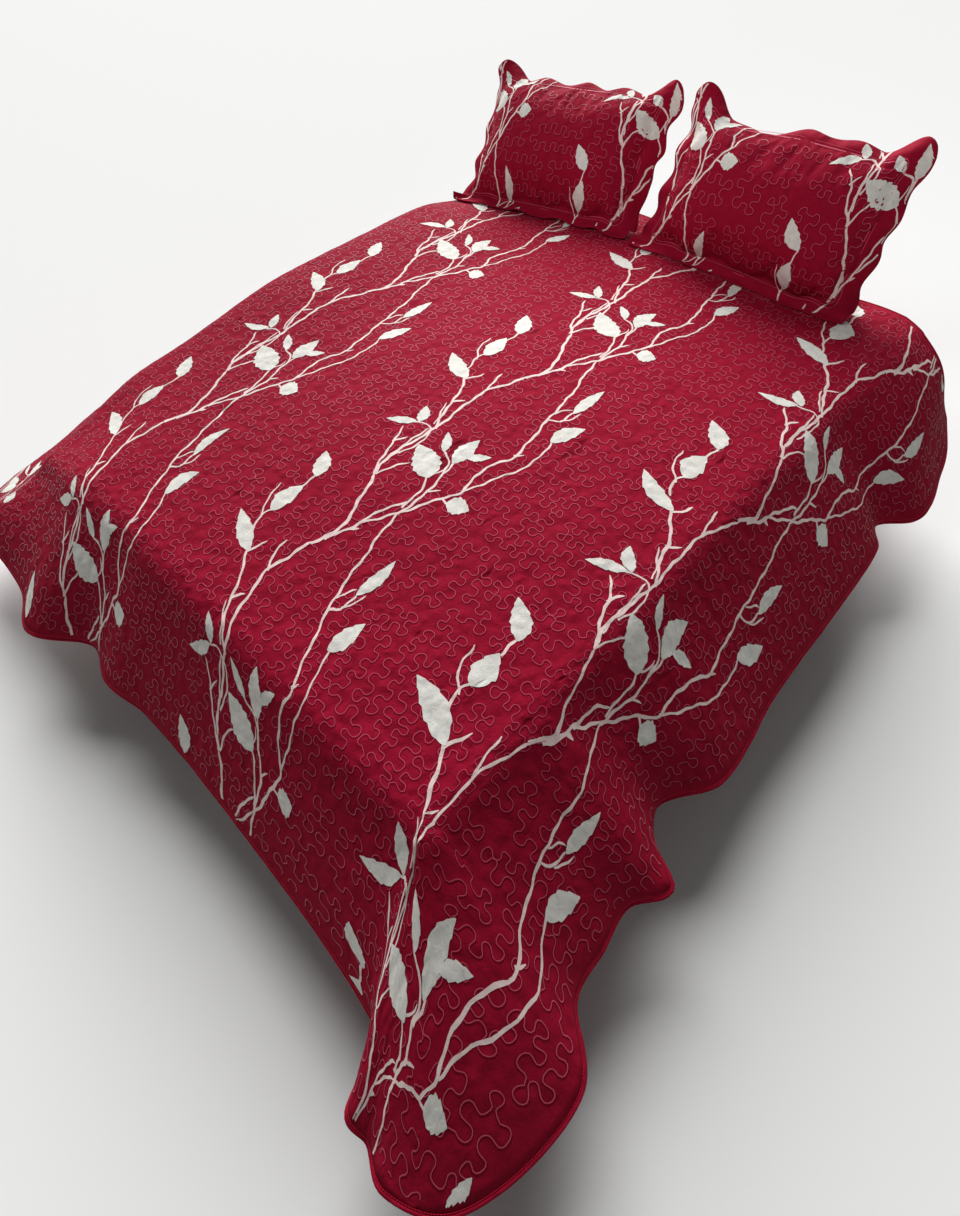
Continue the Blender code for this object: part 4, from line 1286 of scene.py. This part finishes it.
class BEDSET_OT_shams(bpy.types.Operator):
    """The two filled shams with their flanges, print and stitching"""
    bl_idname = "bedset.shams"
    bl_label = "Shams"

    def execute(self, context):
        for k, row in enumerate(SHAMS):
            self.sham(context, context.scene.bedset_quilt, k, row)
        return {"FINISHED"}

    def fill(self, a, b):
        """Share of the fill's half thickness, and the share of the way from the seam to the edge."""
        across, up = np.abs(a) / SEAM_ACROSS, np.abs(b) / SEAM_UP
        body = (np.maximum(1.0 - across ** FILL_SQUARE_ACROSS, 0.0) ** FILL_ROUNDING
                * np.maximum(1.0 - up ** FILL_SQUARE_UP, 0.0) ** FILL_ROUNDING) * (1.0 - FILL_SAG * b)
        over = np.maximum((across - 1.0) * SEAM_ACROSS / (1.0 - SEAM_ACROSS), (up - 1.0) * SEAM_UP / (1.0 - SEAM_UP))
        return body, np.clip(over, 0.0, 1.0)

    def flange(self, a, b, over, k):
        """How far the flange bends out of the sham's plane: forward on the bed, back elsewhere, and ruffled."""
        ear = ease((np.abs(a) - 0.75) / 0.2) * ease((np.abs(b) - 0.72) / 0.2)
        around = np.arctan2(b, a)
        ruffle = FLANGE_RUFFLE * np.sin(around * 17.0 + 1.9 * k + 0.8 * np.sin(around * 5.0)) * over ** 1.2
        fade = ease((b + 1.0) / 0.25)
        back = -FLANGE_BACK * over ** 1.6 * (1.0 - 0.75 * ear) * fade
        return np.where(b < -SEAM_UP, FLANGE_FORWARD * over, back) + ruffle * fade

    def sham(self, context, s, k, row):
        name, foot_x, foot_y, turn, lean, top_dip, ear_dip, spread = row
        turn, lean = math.radians(turn), math.radians(lean)
        wide = np.array([math.cos(turn), math.sin(turn), 0.0])
        back = np.array([-math.sin(turn), math.cos(turn), 0.0])
        tall = back * math.cos(lean) + np.array([0.0, 0.0, math.sin(lean)])
        a, b = np.meshgrid(np.linspace(-1.0, 1.0, SHAM_COLUMNS + 1), np.linspace(-1.0, 1.0, SHAM_ROWS + 1))
        x, y = sham_outline(a, b, top_dip, ear_dip, spread)
        body, over = self.fill(a, b)
        middle = self.flange(a, b, over, k)
        half = FLANGE_HALF + (SHAM_HALF_FILL - 0.010) * body
        points = np.concatenate([np.stack([x, y, middle + sign * half], axis=2).reshape(-1, 3)
                                 for sign in (1.0, -1.0)])
        faces = closed_faces(SHAM_ROWS + 1, SHAM_COLUMNS + 1)
        local = self.inflate(context, name, points, faces, body)
        foot = np.array([foot_x, foot_y, 0.0]) + wide * local[:, :1]
        foot[:, 2] = top_height(foot[:, 0], foot[:, 1]) + s.thickness / 2.0 + SEAT_HEIGHT
        low = -SEAM_UP * SHAM_HEIGHT / 2.0 - SEAT_BELOW_SEAM
        world = foot + tall * (local[:, 1:2] - low) + np.cross(wide, tall) * local[:, 2:]
        count = len(world) // 2
        floor = top_height(world[:, 0], world[:, 1]) + s.thickness / 2.0 + SEAT_CLEAR
        floor[:count] += 2.0 * FLANGE_HALF
        world[:, 2] = np.maximum(world[:, 2], floor)
        flat = np.tile(np.stack([x.ravel(), y.ravel()], axis=1), (2, 1))
        sham = mesh_object(name + "_cover", world, faces, MADE["cotton"], flat + np.array([3.0 * (k + 1), 0.0]))
        settle(sham, name)
        xs = np.linspace(-SHAM_WIDTH / 2, SHAM_WIDTH / 2, SHAM_COLUMNS + 1)
        ys = np.linspace(-SHAM_HEIGHT / 2, SHAM_HEIGHT / 2, SHAM_ROWS + 1)
        front, rear = world.reshape(2, SHAM_ROWS + 1, SHAM_COLUMNS + 1, 3)
        self.dress(name + "_front_", Surface(front, xs, ys, 0.0), s, k)
        self.dress(name + "_back_", Surface(rear[:, ::-1], xs, ys, 0.0), s, k)

    def inflate(self, context, name, points, faces, body):
        """Blows the cover up against its pinned flange with a short cloth simulation."""
        work = mesh_object(name + "_work", points, faces, MADE["cotton"])
        pins = work.vertex_groups.new(name="flange")
        pins.add(np.nonzero(np.tile(body.ravel() < 0.02, 2))[0].tolist(), 1.0, "REPLACE")
        cloth = work.modifiers.new("Inflate", "CLOTH")
        cloth.settings.vertex_group_mass = "flange"
        for setting, value in INFLATE.items():
            setattr(cloth.settings, setting, value)
        cloth.settings.effector_weights.gravity = 0.0
        cloth.collision_settings.use_collision = False
        cloth.collision_settings.use_self_collision = False
        cloth.point_cache.frame_start, cloth.point_cache.frame_end = 1, INFLATE_FRAMES
        for step in range(1, INFLATE_FRAMES + 1):
            context.scene.frame_set(step)
        evaluated = work.evaluated_get(context.evaluated_depsgraph_get())
        moved = np.empty(len(points) * 3)
        evaluated.data.vertices.foreach_get("co", moved)
        context.scene.frame_set(1)
        bpy.data.objects.remove(work, do_unlink=True)
        travel = moved.reshape(-1, 3) - points
        far = np.linalg.norm(travel, axis=1, keepdims=True)
        return points + travel * (INFLATE_CAP * np.tanh(far / INFLATE_CAP) / np.maximum(far, 1e-9))

    def dress(self, prefix, surface, s, k):
        """Print, quilting and the flange's two lines of stitches on one side."""
        def moved(patch):
            return (patch - np.array(SHAM_PRINT_CENTRE)) * SHAM_PRINT_SCALE + np.array(SHAM_PRINT_SHIFT)

        near = range(-1, 2)
        stems, leaves = branches(near, near, random.Random(SHAM_PRINT_SEED + k), moved)
        made = lay_print(prefix, surface, stems, leaves, SHAM_PRINT_MARGIN)
        inner = ((surface.us[0] + 0.058, surface.us[-1] - 0.058), (surface.vs[0] + 0.054, surface.vs[-1] - 0.054))
        made += lay_stitching(prefix, surface, inner, SHAM_STITCH_SEED + k, s, 0.0)
        made.append(ribbon(prefix + "seam", surface, [self.seam(0.0), self.seam(SEAM_APART)], s.stitch_width,
                           SEAM_LIFT, 0.0, MADE["thread"]))
        for piece in made:
            settle(piece)

    def seam(self, out):
        """The way of the stitches where the flange begins, or a little outside it."""
        half = np.array([SEAM_ACROSS * SHAM_WIDTH, SEAM_UP * SHAM_HEIGHT]) / 2.0 + out
        turn = np.linspace(0.0, 2.0 * np.pi, SEAM_POINTS, endpoint=False)
        way = np.stack([np.cos(turn), np.sin(turn)], axis=1)
        return np.copysign(np.abs(way) ** SEAM_SQUARENESS, way) * half


class BEDSET_OT_bed(bpy.types.Operator):
    """The plain mattress with its taped edges, and the base and plinth under it"""
    bl_idname = "bedset.bed"
    bl_label = "Bed"

    def execute(self, context):
        self.mattress(context)
        self.recoat("bed_base", woven_material("base_linen", "#B9B4AC", "#A29C93", 1.6))
        self.recoat("bed_plinth", painted_wood("painted_beech", "#6A635B", "#57504A"))
        return {"FINISHED"}

    def recoat(self, name, material):
        """Gives the frame's own object a new material."""
        materials = frame_object(name).data.materials
        materials.clear()
        materials.append(material)

    def mattress(self, context):
        """A crowned mattress made from a cube, with two corded tapes."""
        low, high = [np.array(c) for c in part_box("mattress")]
        size, middle = high - low, (high + low) / 2.0
        clean_selection()
        bpy.ops.mesh.primitive_cube_add(size=1.0, location=middle.tolist())
        mattress = context.active_object
        mattress.name = "mattress_cover"
        mattress.scale = (size[0], size[1], size[2])
        bpy.ops.object.transform_apply(location=True, rotation=True, scale=True)
        bpy.ops.object.mode_set(mode="EDIT")
        bpy.ops.mesh.select_all(action="SELECT")
        bpy.ops.mesh.subdivide(number_cuts=MATTRESS_CUTS)
        bpy.ops.object.mode_set(mode="OBJECT")
        mesh = mattress.data
        co = np.empty(len(mesh.vertices) * 3)
        mesh.vertices.foreach_get("co", co)
        co = co.reshape(-1, 3)
        radius = SHOULDER_RADIUS - 0.008
        inner_x = np.clip(co[:, 0], -EDGE_X, EDGE_X)
        inner_y = np.clip(co[:, 1], EDGE_Y, BED_HEAD_Y - SHOULDER_RADIUS)
        away = np.stack([co[:, 0] - inner_x, co[:, 1] - inner_y], axis=1)
        share = (co[:, 2] - low[2]) / size[2]
        far = np.linalg.norm(away, axis=1)
        reach = np.maximum(np.abs(away[:, 0]), np.abs(away[:, 1]))
        scale = np.where(far > 1e-9, reach / np.maximum(far, 1e-9), 0.0)
        away = away * scale[:, None] * radius / (SHOULDER_RADIUS - 0.0065)
        out = np.minimum(np.linalg.norm(away, axis=1), radius)
        x, y = inner_x + away[:, 0], inner_y + away[:, 1]
        ceiling = top_height(x, y) - MATTRESS_UNDER - (radius - np.sqrt(np.maximum(radius ** 2 - out ** 2, 0.0)))
        z = low[2] + (ceiling - low[2]) * share
        mesh.vertices.foreach_set("co", np.stack([x, y, z], axis=1).ravel())
        mesh.update()
        clean_selection()
        mattress.select_set(True)
        context.view_layer.objects.active = mattress
        bpy.ops.object.shade_smooth_by_angle(angle=math.radians(50.0))
        mesh.materials.clear()
        mesh.materials.append(woven_material("mattress_ticking", "#E9E7E1", "#DAD7D0", 1.2))
        settle(mattress, "mattress")
        self.tapes(low[2], float(out.max()), radius)

    def tapes(self, low, wall, radius):
        """The two corded tapes round the mattress, near its upper and lower edges."""
        turns = np.linspace(0.0, 0.5 * np.pi, TAPE_CORNER_STEPS)
        far_y = BED_HEAD_Y - SHOULDER_RADIUS
        ring = []
        for quarter, (x, y) in enumerate(((EDGE_X, far_y), (-EDGE_X, far_y), (-EDGE_X, EDGE_Y), (EDGE_X, EDGE_Y))):
            angles = turns + 0.5 * np.pi * quarter
            ring.append(np.stack([x + wall * np.cos(angles), y + wall * np.sin(angles)], axis=1))
        ring = evenly(np.concatenate(ring), TAPE_STEP)
        aside = -side_of(ring, closed=True)
        ceiling = top_height(ring[:, 0], ring[:, 1]) - MATTRESS_UNDER - radius
        around = np.linspace(0.0, 2.0 * np.pi, TAPE_SIDES, endpoint=False)
        count = len(ring)
        here = np.arange(count)
        after = np.roll(here, -1)
        faces = []
        for k in range(TAPE_SIDES):
            this, following = k * count, (k + 1) % TAPE_SIDES * count
            faces.append(np.stack([this + here, this + after, following + after, following + here], axis=1))
        flat = np.tile(np.stack([here * TAPE_STEP, np.zeros(count)], axis=1), (TAPE_SIDES, 1))
        cotton = woven_material("tape_cotton", "#C9C4BA", "#B3ADA2", 1.0)
        for name, share in TAPE_HEIGHTS:
            height = low + (ceiling - low) * share
            points = [np.concatenate([ring + aside * TAPE_RADIUS * math.cos(a),
                                      (height + TAPE_RADIUS * math.sin(a))[:, None]], axis=1) for a in around]
            tape = mesh_object(f"mattress_tape_{name}", np.concatenate(points), np.concatenate(faces), cotton, flat)
            settle(tape)


def frame_object(name):
    """The frame's own object for a node."""
    for obj in bpy.data.objects:
        if obj.name == name or obj.get("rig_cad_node") == name:
            return obj
    raise RuntimeError(f"the frame has no node {name}")


class BEDSET_PT_panel(bpy.types.Panel):
    """Lists the pieces and their sizes"""
    bl_idname = "BEDSET_PT_panel"
    bl_label = "Quilt set"
    bl_space_type = "VIEW_3D"
    bl_region_type = "UI"
    bl_category = "Quilt set"

    def draw(self, context):
        column = self.layout.column()
        for cls in OPERATORS:
            column.operator(cls.bl_idname)
        for group in (context.scene.bedset_quilt, context.scene.bedset_stage):
            for name in group.bl_rna.properties.keys():
                if name not in ("rna_type", "name"):
                    column.prop(group, name)


OPERATORS = (BEDSET_OT_stage, BEDSET_OT_quilt, BEDSET_OT_print, BEDSET_OT_stitching, BEDSET_OT_binding,
             BEDSET_OT_shams, BEDSET_OT_bed)
CLASSES = (QuiltSettings, StageSettings, *OPERATORS, BEDSET_PT_panel)


def register():
    for cls in CLASSES:
        bpy.utils.register_class(cls)
    bpy.types.Scene.bedset_quilt = bpy.props.PointerProperty(type=QuiltSettings)
    bpy.types.Scene.bedset_stage = bpy.props.PointerProperty(type=StageSettings)


def unregister():
    del bpy.types.Scene.bedset_quilt
    del bpy.types.Scene.bedset_stage
    for cls in reversed(CLASSES):
        bpy.utils.unregister_class(cls)


def main():
    register()
    bpy.ops.bedset.stage()
    bpy.ops.bedset.quilt()
    bpy.ops.bedset.print()
    bpy.ops.bedset.stitching()
    bpy.ops.bedset.binding()
    bpy.ops.bedset.shams()
    bpy.ops.bedset.bed()


if __name__ == "__main__":
    main()
